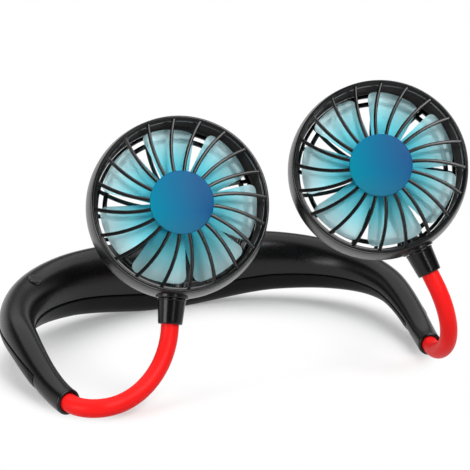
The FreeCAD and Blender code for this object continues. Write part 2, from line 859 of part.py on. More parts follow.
def spoke_prisms(inner, outer, low, high):
    """Curved spokes, radial at the hub, that lean clockwise towards the rim, seen from the front."""
    lean = math.radians(mm("spoke_sweep"))
    x, y = outer * math.cos(lean), outer * math.sin(lean)
    bend = ((x - inner) ** 2 + y ** 2) / (2 * y)
    centre = Vector(inner, -bend, low)
    wide = mm("spoke_width") / 2
    ring = Part.makeCylinder(bend + wide, high - low, centre)
    ring = ring.cut(Part.makeCylinder(bend - wide, high - low, centre))
    span = Part.makeCylinder(outer, high - low, Vector(0, 0, low))
    span = span.cut(Part.makeCylinder(inner, high - low, Vector(0, 0, low)))
    near = Part.makeBox(2 * outer, outer, high - low, Vector(0, -outer + wide * 2, low))
    spoke = ring.common(span).common(near)
    spoke = max(spoke.Solids, key=lambda solid: solid.CenterOfMass.x)
    count = int(mm("spoke_count"))
    return [spoke.rotated(Vector(), UP, 360.0 * number / count) for number in range(count)]


def tube(inner, outer, low, high):
    body = Part.makeCylinder(outer, high - low, Vector(0, 0, low))
    return body.cut(Part.makeCylinder(inner, high - low, Vector(0, 0, low)))


def front_grille(arm):
    """The rim, the domed swirl of spokes and the hub ring that carries the cap."""
    low, high = mm("drum_front"), mm("drum_front") + mm("rim_height")
    rim_inner = mm("fan_radius") - mm("rim_width")
    hub, crown = mm("grille_hub_radius"), high + mm("dome_rise")
    thick = mm("dome_thickness")
    root = mm("spoke_root")
    middle = Vector((hub + rim_inner) / 2, 0, (high + crown) / 2 + mm("dome_bulge"))
    top_edge = [Vector(hub - 2 * root, 0, crown), middle, Vector(rim_inner + 2 * root, 0, high)]
    low_edge = [point - UP * thick for point in top_edge]
    skin = Part.Face(Part.Wire([
        Part.Arc(*top_edge).toShape(),
        Part.makeLine(top_edge[2], low_edge[2]),
        Part.Arc(*low_edge).toShape(),
        Part.makeLine(low_edge[0], top_edge[0]),
    ])).revolve(Vector(), UP, 360)
    prisms = spoke_prisms(hub - root, rim_inner + root, low - thick, crown + thick)
    spokes = [prism.common(skin) for prism in prisms]
    rim = tube(rim_inner, mm("fan_radius"), low, high)
    hub_ring = tube(hub - mm("grille_hub_width"), hub, crown - thick, crown)
    grille = rim.fuse(spokes + [hub_ring]).removeSplitter()
    grille.Placement = arm.head_frame()
    keep_shape(f"{arm.side}_front_grille", grille)


def centre_cap(arm):
    """A slightly domed disc on the front grille's hub ring, held by a spigot in its hole."""
    base = size("drum_front") + size("rim_height") + size("dome_rise")
    edge = base + size("cap_edge")
    radius = size("cap_radius")
    sag_value = mm("cap_dome_radius") - math.sqrt(mm("cap_dome_radius") ** 2 - mm("cap_radius") ** 2)
    sag = Size(
        "(Sizes.cap_dome_radius - sqrt(Sizes.cap_dome_radius^2 - Sizes.cap_radius^2))", sag_value
    )
    spigot = size("grille_hub_radius") - size("grille_hub_width") - size("seat_clearance")
    corners = [
        (ZERO, base - size("spigot_length")),
        (spigot, base - size("spigot_length")),
        (spigot, base),
        (radius, base),
        (radius, edge),
        (ZERO, edge + sag),
    ]
    node = f"{arm.side}_centre_cap"
    body = turned(node, corners, {4: size("cap_dome_radius")})
    keep(node, body, arm.head_frame())


def rear_grille(arm):
    """The rear rings and spokes, the hub with the motor's cup, and the duct for the motor's lead."""
    low = -mm("drum_rear")
    high = low + mm("rear_thickness")
    outer = DRUM_INNER.value - mm("seat_clearance")
    inner = outer - mm("rear_rim_width")
    ring_outer = inner - mm("rear_rim_gap")
    ring_inner = ring_outer - mm("rear_ring_width")
    cup_inner = CUP_INNER.value
    hub = cup_inner + mm("cup_wall") + mm("rear_hub_lip")
    root = mm("spoke_root")
    prisms = spoke_prisms(hub - root, inner + root, low, high)
    cup = tube(cup_inner, cup_inner + mm("cup_wall"), high, high + mm("cup_height"))
    duct_corner = Vector(-mm("duct_width") / 2, -inner - root, low)
    duct = Part.makeBox(mm("duct_width"), inner - hub + 2 * root, high - low, duct_corner)
    plate = Part.makeCylinder(hub, high - low, Vector(0, 0, low))
    rings = [tube(inner, outer, low, high), tube(ring_inner, ring_outer, low, high)]
    grille = plate.fuse(prisms + rings + [duct, cup]).removeSplitter()
    holes = []
    for spot in motor_screw_spots():
        hole = mm("motor_screw_radius") + mm("screw_clearance")
        holes.append(Part.makeCylinder(hole, 3 * (high - low), spot - UP * (high - low)))
    grille = grille.cut(holes)
    grille.Placement = arm.head_frame()
    keep_shape(f"{arm.side}_rear_grille", grille)


def motor_screw_spots():
    low = -mm("drum_rear")
    reach = mm("motor_screw_spacing") / 2
    return [Vector(-reach, 0, low), Vector(reach, 0, low)]


def motor(arm):
    """The can with its bush, the screws through the rear grille and the lead down the duct."""
    side, frame = arm.side, arm.head_frame()
    foot, crown = MOTOR_FOOT, MOTOR_CROWN
    hole = size("shaft_radius") + size("shaft_clearance")
    seat = size("bush_radius") + size("screw_clearance")
    tail = SHAFT_TAIL - size("seat_clearance")
    corners = [
        (ZERO, foot),
        (size("motor_radius"), foot),
        (size("motor_radius"), crown),
        (seat, crown),
        (seat, BUSH_LOW),
        (hole, BUSH_LOW),
        (hole, tail),
        (ZERO, tail),
    ]
    can = turned(f"{side}_motor_can", corners)
    keep(f"{side}_motor_can", can, frame)
    pilot = size("motor_screw_radius") + size("screw_clearance")
    reach = size("motor_screw_spacing") * 0.5
    sketch = can.newObject("Sketcher::SketchObject", f"{side}_motor_pilot_circles")
    sketch.AttachmentSupport = [(plane_of(can, "XY_Plane"), "")]
    sketch.MapMode = "FlatFace"
    sketch.AttachmentOffset = Placement(Vector(0, 0, foot.value), Rotation())
    sketch.setExpression("AttachmentOffset.Base.z", foot.text)
    for number, x in enumerate((reach, -reach)):
        sketch.addGeometry(Part.Circle(Vector(x.value, 0, 0), UP, pilot.value))
        bind(sketch, "DistanceX", number, 3, x)
        bind(sketch, "DistanceY", number, 3, ZERO)
        held = sketch.addConstraint(Sketcher.Constraint("Radius", number, pilot.value))
        sketch.setExpression(f"Constraints[{held}]", pilot.text)
    before = can.Shape.Volume
    pocket = can.newObject("PartDesign::Pocket", f"{side}_motor_pilots")
    pocket.Profile = sketch
    pocket.setExpression("Length", (size("motor_screw_bite") + size("seat_clearance")).text)
    pocket.Reversed = True
    sketch.Visibility = False
    doc.recompute()
    if can.Shape.Volume >= before:
        raise ValueError("the motor's pilot holes cut nothing")
    ring = [
        (hole, BUSH_LOW),
        (size("bush_radius"), BUSH_LOW),
        (size("bush_radius"), BUSH_HIGH),
        (hole, BUSH_HIGH),
    ]
    keep(f"{side}_motor_bush", turned(f"{side}_motor_bush", ring), frame)
    reach = mm("rear_thickness") + mm("motor_screw_bite")
    spots = [(frame.multiply(Placement(spot, Rotation())), reach) for spot in motor_screw_spots()]
    screws(f"{side}_motor_screws", spots, mm("motor_screw_radius"), mm("motor_screw_head_radius"),
           mm("motor_screw_head_height"))
    start = CUP_INNER + size("cup_wall") + size("seat_clearance")
    end = DRUM_INNER - size("seat_clearance")
    level = foot + size("lead_radius") + size("screw_clearance")
    lead = rod_part(f"{side}_motor_lead", Vector(), UP, size("lead_radius"), end - start)
    spot = Placement(Vector(0, -start.value, level.value), Rotation(UP, Vector(0, -1, 0)))
    keep(f"{side}_motor_lead", lead, frame.multiply(spot))


def blade():
    """One blade: a flat strip that widens and flattens from the hub to its tip."""
    middle = (HUB_FRONT.value + HUB_REAR.value) / 2
    ends = []
    for radius, part in ((HUB_RADIUS.value - mm("hub_wall") / 2, "root"), (DRUM_INNER.value, "tip")):
        chord, pitch = mm(f"blade_{part}_chord"), math.radians(mm(f"blade_{part}_pitch"))
        along = Vector(0, math.cos(pitch), math.sin(pitch)) * (chord / 2)
        thick = Vector(0, -math.sin(pitch), math.cos(pitch)) * (mm("blade_thickness") / 2)
        centre = Vector(radius, 0, middle)
        near, far = centre - along, centre + along
        ends.append(Part.makePolygon([near - thick, far - thick, far + thick, near + thick, near - thick]))
    return Part.makeLoft(ends, True, True)


def impeller(arm):
    """The hub cup over the motor, with its blades, and the shaft that it sits on."""
    side, frame = arm.side, arm.head_frame()
    front, rear = HUB_FRONT.value, HUB_REAR.value
    radius, wall = HUB_RADIUS.value, mm("hub_wall")
    skirt = tube(radius - wall, radius, rear, front - wall)
    plate = Part.makeCylinder(radius, wall, Vector(0, 0, front - wall))
    boss_foot = Vector(0, 0, HUB_BOSS_LOW.value)
    boss = Part.makeCylinder(mm("hub_boss_radius"), mm("hub_boss_length"), boss_foot)
    count = int(mm("blade_count"))
    blades = [blade().rotated(Vector(), UP, 360.0 * number / count) for number in range(count)]
    chord = mm("blade_tip_chord")
    tip = DRUM_INNER.value - mm("blade_tip_gap")
    limit = tube(radius - wall / 2, tip, rear - chord, front + chord)
    wheel = skirt.fuse([plate, boss] + [one.common(limit) for one in blades])
    bore = mm("shaft_radius") + mm("shaft_clearance")
    wheel = wheel.cut(Part.makeCylinder(bore, front - wall / 2 - rear, Vector(0, 0, rear))).removeSplitter()
    wheel.Placement = frame
    keep_shape(f"{side}_impeller", wheel)
    nose = HUB_FRONT - size("hub_wall") * 0.5 - size("shaft_clearance")
    shaft = rod_part(f"{side}_motor_shaft", Vector(), UP, size("shaft_radius"), nose - SHAFT_TAIL)
    keep(f"{side}_motor_shaft", shaft, frame.multiply(Placement(UP * SHAFT_TAIL.value, Rotation())))


# Build everything

neckband()
band_contents()
arms = arm_pair()
for arm in arms.values():
    arm_pieces(arm)
    collar(arm)
    drum(arm)
    front_grille(arm)
    centre_cap(arm)
    rear_grille(arm)
    motor(arm)
    impeller(arm)
doc.recompute()

# Where the joints are, in millimetres


def show(name, point, axis):
    numbers = [round(number, 4) for number in (*point, *axis)]
    print(name, *numbers)


button = button_frame(mm("button_rise"))
show("button", button.Base, button.Rotation.multVec(UP * -1))
for side, arm in arms.items():
    sway_axis = (UP - arm.way * UP.dot(arm.way)).normalize()
    bend_axis = arm.arcs[1][3]
    show(f"{side}_sway", arm.start, sway_axis)
    show(f"{side}_bend_lower", arm.point_on(1, 0), bend_axis)
    show(f"{side}_bend_upper", arm.point_on(1, arm.arcs[1][5] / 2), bend_axis)
    show(f"{side}_turn", arm.collar_foot, arm.end_way)
    show(f"{side}_spin", arm.centre, arm.normal)

# Every object and every piece is checked before anything is written

for thing in doc.Objects:
    if "Invalid" in thing.State or "Error" in thing.State:
        raise ValueError(f"{thing.Label} failed to build")
for node, thing in pieces.items():
    if thing.Shape.isNull() or not thing.Shape.isValid():
        raise ValueError(f"{node} has no valid shape")

os.makedirs("parts", exist_ok=True)
for node, thing in pieces.items():
    thing.Shape.exportStep(f"parts/{node}.step")
print(len(pieces), "pieces")
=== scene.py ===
import json
import math

import bmesh
import bpy
from mathutils import Matrix, Vector

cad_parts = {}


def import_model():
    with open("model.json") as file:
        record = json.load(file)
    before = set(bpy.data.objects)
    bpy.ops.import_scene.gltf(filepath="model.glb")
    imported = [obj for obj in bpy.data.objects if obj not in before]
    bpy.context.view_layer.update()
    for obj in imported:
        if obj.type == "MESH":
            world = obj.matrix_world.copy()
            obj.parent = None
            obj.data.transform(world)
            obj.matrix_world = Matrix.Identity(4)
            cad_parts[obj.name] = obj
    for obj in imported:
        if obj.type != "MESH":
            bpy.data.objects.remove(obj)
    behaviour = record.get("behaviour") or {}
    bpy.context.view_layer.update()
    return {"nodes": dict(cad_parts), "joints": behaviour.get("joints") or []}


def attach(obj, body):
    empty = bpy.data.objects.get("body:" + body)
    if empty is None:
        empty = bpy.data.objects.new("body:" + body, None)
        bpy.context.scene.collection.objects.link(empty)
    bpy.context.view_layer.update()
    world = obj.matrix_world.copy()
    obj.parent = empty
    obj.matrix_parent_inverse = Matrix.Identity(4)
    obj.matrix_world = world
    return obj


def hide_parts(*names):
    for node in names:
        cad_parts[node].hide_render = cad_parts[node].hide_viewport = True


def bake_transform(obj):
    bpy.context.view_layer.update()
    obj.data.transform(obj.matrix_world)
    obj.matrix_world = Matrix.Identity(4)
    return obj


# A black neck fan with red flexible arms on a white floor. Metres, in the frame of the CAD model.

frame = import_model()
MM = 0.001
UP = Vector((0, 0, 1))
SIDES = {"left": -1, "right": 1}
JOINTS = {joint["name"]: joint for joint in frame["joints"]}

# Camera: its picture and focal length in pixels, its place in metres, its sensor in millimetres
PICTURE = 470
FOCAL_PIXELS = 1200.0
CAMERA_AZIMUTH = math.radians(-23.37)
CAMERA_ELEVATION = math.radians(15.05)
CAMERA_TARGET = Vector((0.080, 0.1047, 0.0))
CAMERA_DISTANCE = 0.6879
CAMERA_RIGHT = Vector((math.cos(CAMERA_AZIMUTH), math.sin(CAMERA_AZIMUTH), 0))
SENSOR_WIDTH = 36.0
CLIP_START = 0.01

# Meshes: how near points are merged, in metres, how much of a side a rounded corner may take, and
# the angles in degrees over which edges stay hard on large and on small pieces
MERGE_REACH = 1e-6
CORNER_SHARE = 0.48
SHARP_ANGLE = 40
SMALL_SHARP_ANGLE = 50

# How finely pieces are divided: rings along the band, steps over and under it, steps of an arm's arc
# and of a blade's chord, and sides of the turned pieces
SHELL_RINGS = 240
SHELL_STEPS = (48, 32)
TRAY_RINGS = 220
TRAY_STEPS = (36, 24)
ARC_STEPS = 20
BLADE_STEPS = 20
DRUM_SIDES = 200
CAP_SIDES = 160
HUB_SIDES = 120
COLLAR_SIDES = 96
STEM_SIDES = 72
TUBE_SIDES = 48

# Finishes: the broad grain's scale against the fine one, the depth of a relief in metres, and how
# far apart the lines of a wave texture lie at scale 1
BROAD_GRAIN = 0.06
RELIEF_DEPTH = 0.0002
WAVE_SPACING = 0.31

# Neckband, in millimetres and degrees: plan arcs from the middle of the back to a tip, then the
# half width, top and bottom at the back, the shoulder, the arm and the tip
PATH_ARCS = [(133.4, math.radians(19.8)), (58.6, math.radians(71.8)), (160.0, math.radians(15.1))]
HALF_LENGTH = sum(radius * angle for radius, angle in PATH_ARCS)
TIP_RADIUS = 4.9
TIP_LEVEL = 5.2
TIP_SLOPE = -math.tan(math.radians(4.0))
KNOTS = [0.0, 53.0, 115.0, HALF_LENGTH]
HALF_WIDTHS = [9.6, 9.6, 6.6, TIP_RADIUS]
TOPS = [32.8, 33.0, 25.0, TIP_LEVEL + TIP_RADIUS]
BOTTOMS = [-0.5, 5.9, 9.6, TIP_LEVEL - TIP_RADIUS]

# Its seam and the tray under it. On the arms the seam rises outside and the tray stands out less
SEAM_RISES = [10.0, 9.0, 5.8, 5.8]
OUTER_RISE = 2.2
ARM_BLEND = (80.0, 112.0)
SEAM_LIMIT = 0.98
SEAM_GAP = 0.32
SEAM_ROUND = 0.25
TRAY_END = HALF_LENGTH - 17.5
TRAY_PROUD = 0.7
ARM_PROUD = 0.38
TRAY_DEPTH = 1.1
TRAY_TAPER = 3.5
TRAY_LIP = 0.4
TRAY_LIP_STEPS = (0.08, 0.16, 0.24, 0.32, 0.4, 0.7)
TRAY_END_STEPS = (-0.5, -0.05, 0.05, 0.5)
CORE_INSET = 1.3

# Its tips, and its holes for the button, the charging socket, the charge light and the screws
TIP_ROUND = 0.9
BORE_RADIUS = 3.55
BORE_DEPTH = 6.0
BORE_LIP = [(0.3, 0.0), (0.1, 0.1), (0.0, 0.35)]
BUTTON_STATION = -80.0
BUTTON_INSET = 3.3
BUTTON_HOLE = (3.55, 3.05)
BUTTON_REACH = (-2.0, 2.4)
USB_STATION = 54.0
USB_HOLE = (9.4, 3.6)
USB_CORNER = 0.8
USB_LEVEL = 21.6
USB_REACH = (-8.2, 2.0)
LED_STATION = 62.0
LED_HOLE = 1.05
LED_REACH = (-3.4, 2.0)
SCREW_STATIONS = (36.0, 98.0)
SCREW_HOLE = 1.75
SCREW_REACH = (-3.0, 2.6)

# Arms and collars, in millimetres
SLEEVE_RADIUS = 3.4
SLEEVE_BORE = 2.6
CORE_RADIUS = 2.4
ROOT_DEPTH = 4.5
SOCKET_DEPTH = 3.2
COLLAR_LENGTH = 9.7
COLLAR_FOOT = 4.6
COLLAR_NECK = 5.4
COLLAR_BAND = 1.2
COLLAR_LIP = (0.9, 0.6)
COLLAR_STEP = 0.12
COLLAR_MOUTH = 4.06
COLLAR_WEB = 4.4
COLLAR_HOLE = 1.5
COLLAR_SOCKET = 3.5
COLLAR_SEAT = 3.4

# Fan heads, in millimetres: the drum with its boss and the stem
STEM_RADIUS = 4.0
STEM_REACH = 40.3
BOSS_RADIUS = 6.2
BOSS_ROOT = 32.6
BOSS_REACH = 35.05
BOSS_SOFT = 0.25
BOSS_DULL = (35.2, 35.6)
FAN_RADIUS = 33.4
DRUM_FRONT = 7.5
DRUM_REAR = -10.0
DRUM_FLARE = 34.4
DRUM_INNER = 31.8
DRUM_ARC = 34.0
DRUM_SOFT = 0.7
DRUM_BEVEL = (0.35, 0.5)
DRUM_LIP = [(0.05, 0.2), (0.35, 0.0)]
WALL_MARGIN = (0.3, 0.5)
GROOVE_LEVEL = DRUM_REAR + 2.1
GROOVE_CLEAR = 0.35
GROOVE_SHAPE = [(-0.25, 0.0), (-0.12, 0.3), (0.12, 0.3), (0.25, 0.0)]

# Front grille and cap
RIM_HEIGHT = 2.5
RIM_WIDTH = 1.9
RIM_GAP = 0.02
RIM_BEVEL = 0.3
RIM_LIP = [(0.85, 0.0), (1.05, 0.35)]
RIM_DROP = 0.55
DOME_RISE = 1.6
DOME_BULGE = 0.3
DOME_MARGIN = 1.2
GRILLE_HUB = 11.6
GRILLE_HUB_HOLE = 7.4
SPOKE_COUNT = 20
SPOKE_SWEEP = math.radians(9.0)
SPOKE_WIDTH = 1.5
SPOKE_DEPTH = 1.8
SPOKE_TAPER = 0.75
SPOKE_SINK = (0.8, 0.7)
CAP_RADIUS = 12.0
CAP_EDGE = 0.9
CAP_SOFT = 0.5
CAP_BEVEL = 0.15
CAP_DOME = 0.8
SPIGOT_RADIUS = 7.2
SPIGOT_DEPTH = 1.4
SPIGOT_BEVEL = 0.3

# Rear grille with the motor's cup and the duct for its lead
REAR_HIGH = -8.2
REAR_RIM = (30.2, 31.6)
REAR_RING = (26.8, 28.6)
REAR_HUB = 10.0
MOTOR_CUP = (7.6, 8.8)
MOTOR_CUP_TOP = -4.2
DUCT_WIDTH = 7.0
DUCT_REACHES = (REAR_HUB - 1.0, 20.0, REAR_RIM[0] + 0.5)

# Impeller. A blade's pitch in degrees and its chord are given at its root and at the drum's wall,
# its half thickness at its root and its tip
WHEEL_HUB = 10.2
WHEEL_FRONT = 5.2
WHEEL_REAR = -2.4
WHEEL_WALL = 1.2
WHEEL_BOSS = (2.4, 2.8)
SHAFT_HOLE = 1.05
BLADE_COUNT = 7
BLADE_ROOT = 9.6
BLADE_TIP = 29.8
BLADE_LEVEL = 1.4
BLADE_PITCH = (36.0, 20.0)
BLADE_CHORD = (11.5, 24.5)
BLADE_CORNER = (3.0, 2.4)
BLADE_CAMBER = 0.35
BLADE_HALF_THICK = (0.55, 0.35)
BLADE_EDGE = 0.25

# Stage and light, in metres. The floor shows its shadow near an oval ring under the band and is
# plain white away from it. Lights are given by place, target, size and power in watts
FLOOR_SIZE = 30
SHADOW_CENTRE = (0, -0.062, 0)
SHADOW_RING = (0.083, 0.062)
SHADOW_FADE = (0.05, 0.5)
SHADOW_LIFT = 0.28
SHADOW_OUTER_RATE = 2.0
BACKDROP_DEPTH = (-0.2, 0.5)
BACKDROP_HEIGHT = (0.5, 0.12)
ROOM_LEVEL = 0.04
LIGHTS = {
    "softbox": ((0.10, 0.25, 1.0), (0, -0.05, 0.03), (1.9, 1.3), 11.0),
    "front": ((0.25, -0.80, 0.90), (0, -0.08, 0.04), (0.8, 0.6), 9.5),
    "card": ((-0.55, -0.25, 0.12), (-0.08, -0.06, 0.015), (0.25, 0.35), 1.5),
    "strip": ((0.02, -0.95, 0.5), (0, -0.1, 0.05), (0.12, 0.5), 1.6),
}


# Meshes


def add_mesh(name, points, faces):
    """A smooth mesh object from points in millimetres."""
    mesh = bpy.data.meshes.new(name)
    mesh.from_pydata([tuple(Vector(point) * MM) for point in points], [], faces)
    mesh.update()
    thing = bpy.data.objects.new(name, mesh)
    bpy.context.scene.collection.objects.link(thing)
    work = bmesh.new()
    work.from_mesh(mesh)
    bmesh.ops.remove_doubles(work, verts=work.verts, dist=MERGE_REACH)
    bmesh.ops.recalc_face_normals(work, faces=work.faces)
    for face in work.faces:
        face.smooth = True
    work.to_mesh(mesh)
    work.free()
    return thing


class Builder:
    """Collects skins of rings into one mesh."""

    def __init__(self):
        self.points = []
        self.faces = []

    def add(self, rings, caps=False):
        """Skins closed rings of equal length, and closes both ends if caps is set."""
        first, count = len(self.points), len(rings[0])
        for row in range(len(rings) - 1):
            for column in range(count):
                following = (column + 1) % count
                near = first + row * count
                far = near + count
                self.faces.append((near + column, near + following, far + following, far + column))
        if caps:
            end = first + (len(rings) - 1) * count
            self.faces.append(tuple(first + column for column in reversed(range(count))))
            self.faces.append(tuple(end + column for column in range(count)))
        self.points += [point for ring in rings for point in ring]

    def lathe(self, profile, sides):
        """Turns a closed profile of radius and height about Z."""
        rings = []
        for number in range(sides):
            angle = 2 * math.pi * number / sides
            x, y = math.cos(angle), math.sin(angle)
            rings.append([Vector((radius * x, radius * y, height)) for radius, height in profile])
        self.add(rings + [rings[0]])

    def finish(self, name, place=None):
        """The mesh object, moved to its place in metres."""
        thing = add_mesh(name, self.points, self.faces)
        if place is not None:
            thing.data.transform(place)
        return thing


def crease(thing, angle=SHARP_ANGLE):
    """Keeps hard edges hard."""
    split = thing.modifiers.new("edges", "EDGE_SPLIT")
    split.split_angle = math.radians(angle)


def cut_out(thing, cutters):
    """Takes the cutters' volumes out of a piece and removes the cutters."""
    for cutter in cutters:
        hole = thing.modifiers.new("hole", "BOOLEAN")
        hole.operation = "DIFFERENCE"
        hole.solver = "EXACT"
        hole.object = cutter
    graph = bpy.context.evaluated_depsgraph_get()
    mesh = bpy.data.meshes.new_from_object(thing.evaluated_get(graph))
    thing.modifiers.clear()
    thing.data = mesh
    for cutter in cutters:
        bpy.data.objects.remove(cutter)


def rounded(corners, radius, steps=5):
    """A closed profile with each corner rounded. radius is one number, or one for each corner."""
    points = []
    count = len(corners)
    for number, corner in enumerate(corners):
        here = Vector(corner)
        before = Vector(corners[number - 1]) - here
        after = Vector(corners[(number + 1) % count]) - here
        wish = radius[number] if isinstance(radius, (list, tuple)) else radius
        if wish == 0:
            points.append(here)
            continue
        reach = min(wish, before.length * CORNER_SHARE, after.length * CORNER_SHARE)
        start = here + before.normalized() * reach
        end = here + after.normalized() * reach
        for step in range(steps + 1):
            t = step / steps
            points.append(start * (1 - t) ** 2 + here * 2 * t * (1 - t) + end * t ** 2)
    return [(point.x, point.y) for point in points]


def box_profile(inner, outer, low, high):
    """A plain ring's profile."""
    return [(inner, low), (outer, low), (outer, high), (inner, high)]


def oval_ring(centre, across, along, wide, long, sides=TUBE_SIDES):
    """A flat oval of points about a centre."""
    ring = []
    for number in range(sides):
        angle = 2 * math.pi * number / sides
        ring.append(centre + across * (wide * math.cos(angle)) + along * (long * math.sin(angle)))
    return ring


def evenly(low, high, steps):
    """Values from low to high in equal steps."""
    return [low + (high - low) * number / steps for number in range(steps + 1)]


def quarter(steps):
    """A quarter circle of radius 1: how far its points lie in from the two sides of its corner."""
    return [(1 - math.cos(turn), 1 - math.sin(turn)) for turn in evenly(0.0, math.pi / 2, steps)]


def between(ends, part):
    """The value at a part of the way from one end to the other."""
    return ends[0] + (ends[1] - ends[0]) * part


def blend_in(low, high, value):
    """A smooth step from 0 at low to 1 at high."""
    part = max(0.0, min(1.0, (value - low) / (high - low)))
    return part * part * (3 - 2 * part)


# Materials


def new_material(name):
    """A material with its node tree and its shader."""
    material = bpy.data.materials.new(name)
    material.use_nodes = True
    return material, material.node_tree, material.node_tree.nodes["Principled BSDF"]


def ramp_along(tree, factor, stops):
    """Colours along a factor. stops are pairs of a place from 0 to 1 and a colour."""
    ramp = tree.nodes.new("ShaderNodeValToRGB")
    marks = ramp.color_ramp.elements
    for number, (place, colour) in enumerate(stops):
        mark = marks[number] if number < 2 else marks.new(place)
        mark.position = place
        mark.color = (*colour, 1)
    tree.links.new(factor, ramp.inputs["Fac"])
    return ramp.outputs["Color"]


def ranged(tree, value, start, end, low=0.0, high=1.0, way="LINEAR"):
    """A value brought from one range to another."""
    change = tree.nodes.new("ShaderNodeMapRange")
    change.interpolation_type = way
    change.inputs["From Min"].default_value = start
    change.inputs["From Max"].default_value = end
    change.inputs["To Min"].default_value = low
    change.inputs["To Max"].default_value = high
    tree.links.new(value, change.inputs["Value"])
    return change.outputs["Result"]


def combined(tree, operation, first, second):
    """Two values, or a value and a number, joined by an operation."""
    join = tree.nodes.new("ShaderNodeMath")
    join.operation = operation
    for number, value in enumerate((first, second)):
        if isinstance(value, (int, float)):
            join.inputs[number].default_value = value
        else:
            tree.links.new(value, join.inputs[number])
    return join.outputs["Value"]


def mixed(tree, factor, first, second):
    """Two colours mixed by a factor. The node's colour sockets are known by their numbers."""
    mix = tree.nodes.new("ShaderNodeMix")
    mix.data_type = "RGBA"
    tree.links.new(factor, mix.inputs["Factor"])
    tree.links.new(first, mix.inputs[6])
    tree.links.new(second, mix.inputs[7])
    return mix.outputs[2]


def vector_step(tree, operation, value, other=None):
    """A vector, or a vector and a fixed one, put through an operation."""
    step = tree.nodes.new("ShaderNodeVectorMath")
    step.operation = operation
    tree.links.new(value, step.inputs[0])
    if other is not None:
        step.inputs[1].default_value = other
    return step


def noise_of(tree, coords, scale, detail):
    """A noise from 0 to 1."""
    noise = tree.nodes.new("ShaderNodeTexNoise")
    noise.inputs["Scale"].default_value = scale
    noise.inputs["Detail"].default_value = detail
    tree.links.new(coords, noise.inputs["Vector"])
    return noise.outputs["Fac"]


class Finish:
    """Moulded plastic, rubber or metal: a grain in its colour, its roughness and its surface."""

    def __init__(self, name, dark, light, rough, grain, bump):
        self.material, self.tree, self.shader = new_material(name)
        tree, shader = self.tree, self.shader
        self.coords = tree.nodes.new("ShaderNodeTexCoord").outputs["Object"]
        self.broad = noise_of(tree, self.coords, grain * BROAD_GRAIN, 3)
        self.fine = noise_of(tree, self.coords, grain, 4)
        colour = ramp_along(tree, self.broad, [(0.3, dark), (0.7, light)])
        tree.links.new(colour, shader.inputs["Base Color"])
        tree.links.new(ranged(tree, self.fine, 0, 1, *rough), shader.inputs["Roughness"])
        self.relief = tree.nodes.new("ShaderNodeBump")
        self.relief.inputs["Strength"].default_value = bump
        self.relief.inputs["Distance"].default_value = RELIEF_DEPTH
        tree.links.new(self.fine, self.relief.inputs["Height"])
        tree.links.new(self.relief.outputs["Normal"], shader.inputs["Normal"])

    def set(self, **values):
        """Sets shader inputs. An underscore stands for a space."""
        for name, value in values.items():
            self.shader.inputs[name.replace("_", " ")].default_value = value
        return self

    def colour(self, socket):
        """Takes the colour from a socket."""
        self.tree.links.new(socket, self.shader.inputs["Base Color"])

    def offset(self, centre):
        """How far a point lies from a centre, as a vector."""
        step = vector_step(self.tree, "SUBTRACT", self.coords, centre)
        return step.outputs["Vector"]


def plastic(name, level, rough, grain, bump, coat=0.0, specular=0.5):
    """Black plastic: level is how far its darkest and lightest grain are from black."""
    low, high = level
    finish = Finish(name, (low, low, low * 1.08), (high, high, high * 1.1), rough, grain, bump)
    finish.set(Coat_Weight=coat, Coat_Roughness=0.1, Specular_IOR_Level=specular)
    return finish


def metal(name, dark, light, rough):
    """A bare metal between two shades."""
    return Finish(name, dark, light, rough, grain=900, bump=0.08).set(Metallic=1.0).material


def hatched(finish, spacing):
    """Adds fine slanting lines to a finish's surface."""
    tree = finish.tree
    lines = tree.nodes.new("ShaderNodeTexWave")
    lines.bands_direction = "DIAGONAL"
    lines.inputs["Scale"].default_value = WAVE_SPACING / spacing
    lines.inputs["Distortion"].default_value = 0.3
    tree.links.new(finish.coords, lines.inputs["Vector"])
    both = combined(tree, "ADD", lines.outputs["Fac"], finish.fine)
    tree.links.new(both, finish.relief.inputs["Height"])
    return finish.material


def cap_blue(side):
    """The cap's blue: cyan to one side, deep blue to the other and greyer below."""
    finish = Finish(
        f"{side}_cap_blue", dark=(0.01, 0.2, 0.36), light=(0.02, 0.29, 0.46),
        rough=(0.3, 0.4), grain=900, bump=0.04,
    )
    tree = finish.tree
    reach = CAP_RADIUS * MM
    offset = finish.offset(Vector(JOINTS[f"{side}_fan_spin"]["pos_m"]))
    slant = CAMERA_RIGHT + UP * 0.35
    sideways = vector_step(tree, "DOT_PRODUCT", offset, slant).outputs["Value"]
    upward = vector_step(tree, "DOT_PRODUCT", offset, UP).outputs["Value"]
    grain = ranged(tree, finish.broad, 0, 1, -0.08, 0.08)
    across = combined(tree, "ADD", ranged(tree, sideways, -reach, reach), grain)
    blues = [(0.0, (0.002, 0.25, 0.35)), (0.5, (0.006, 0.16, 0.31)), (1.0, (0.004, 0.08, 0.23))]
    greys = [(0.3, (0.034, 0.14, 0.21)), (0.7, (0.042, 0.16, 0.24))]
    below = ranged(tree, upward, 0.1 * reach, -1.1 * reach, 0.0, 0.75)
    upper = ramp_along(tree, across, blues)
    lower = ramp_along(tree, finish.broad, greys)
    finish.colour(mixed(tree, below, upper, lower))
    return finish.set(Specular_IOR_Level=0.08).material


def from_axis(finish, side):
    """How far a point lies from the fan's axis, in metres."""
    tree = finish.tree
    spin = JOINTS[f"{side}_fan_spin"]
    offset = finish.offset(Vector(spin["pos_m"]))
    arm = vector_step(tree, "CROSS_PRODUCT", offset, Vector(spin["axis"]))
    return vector_step(tree, "LENGTH", arm.outputs["Vector"]).outputs["Value"]


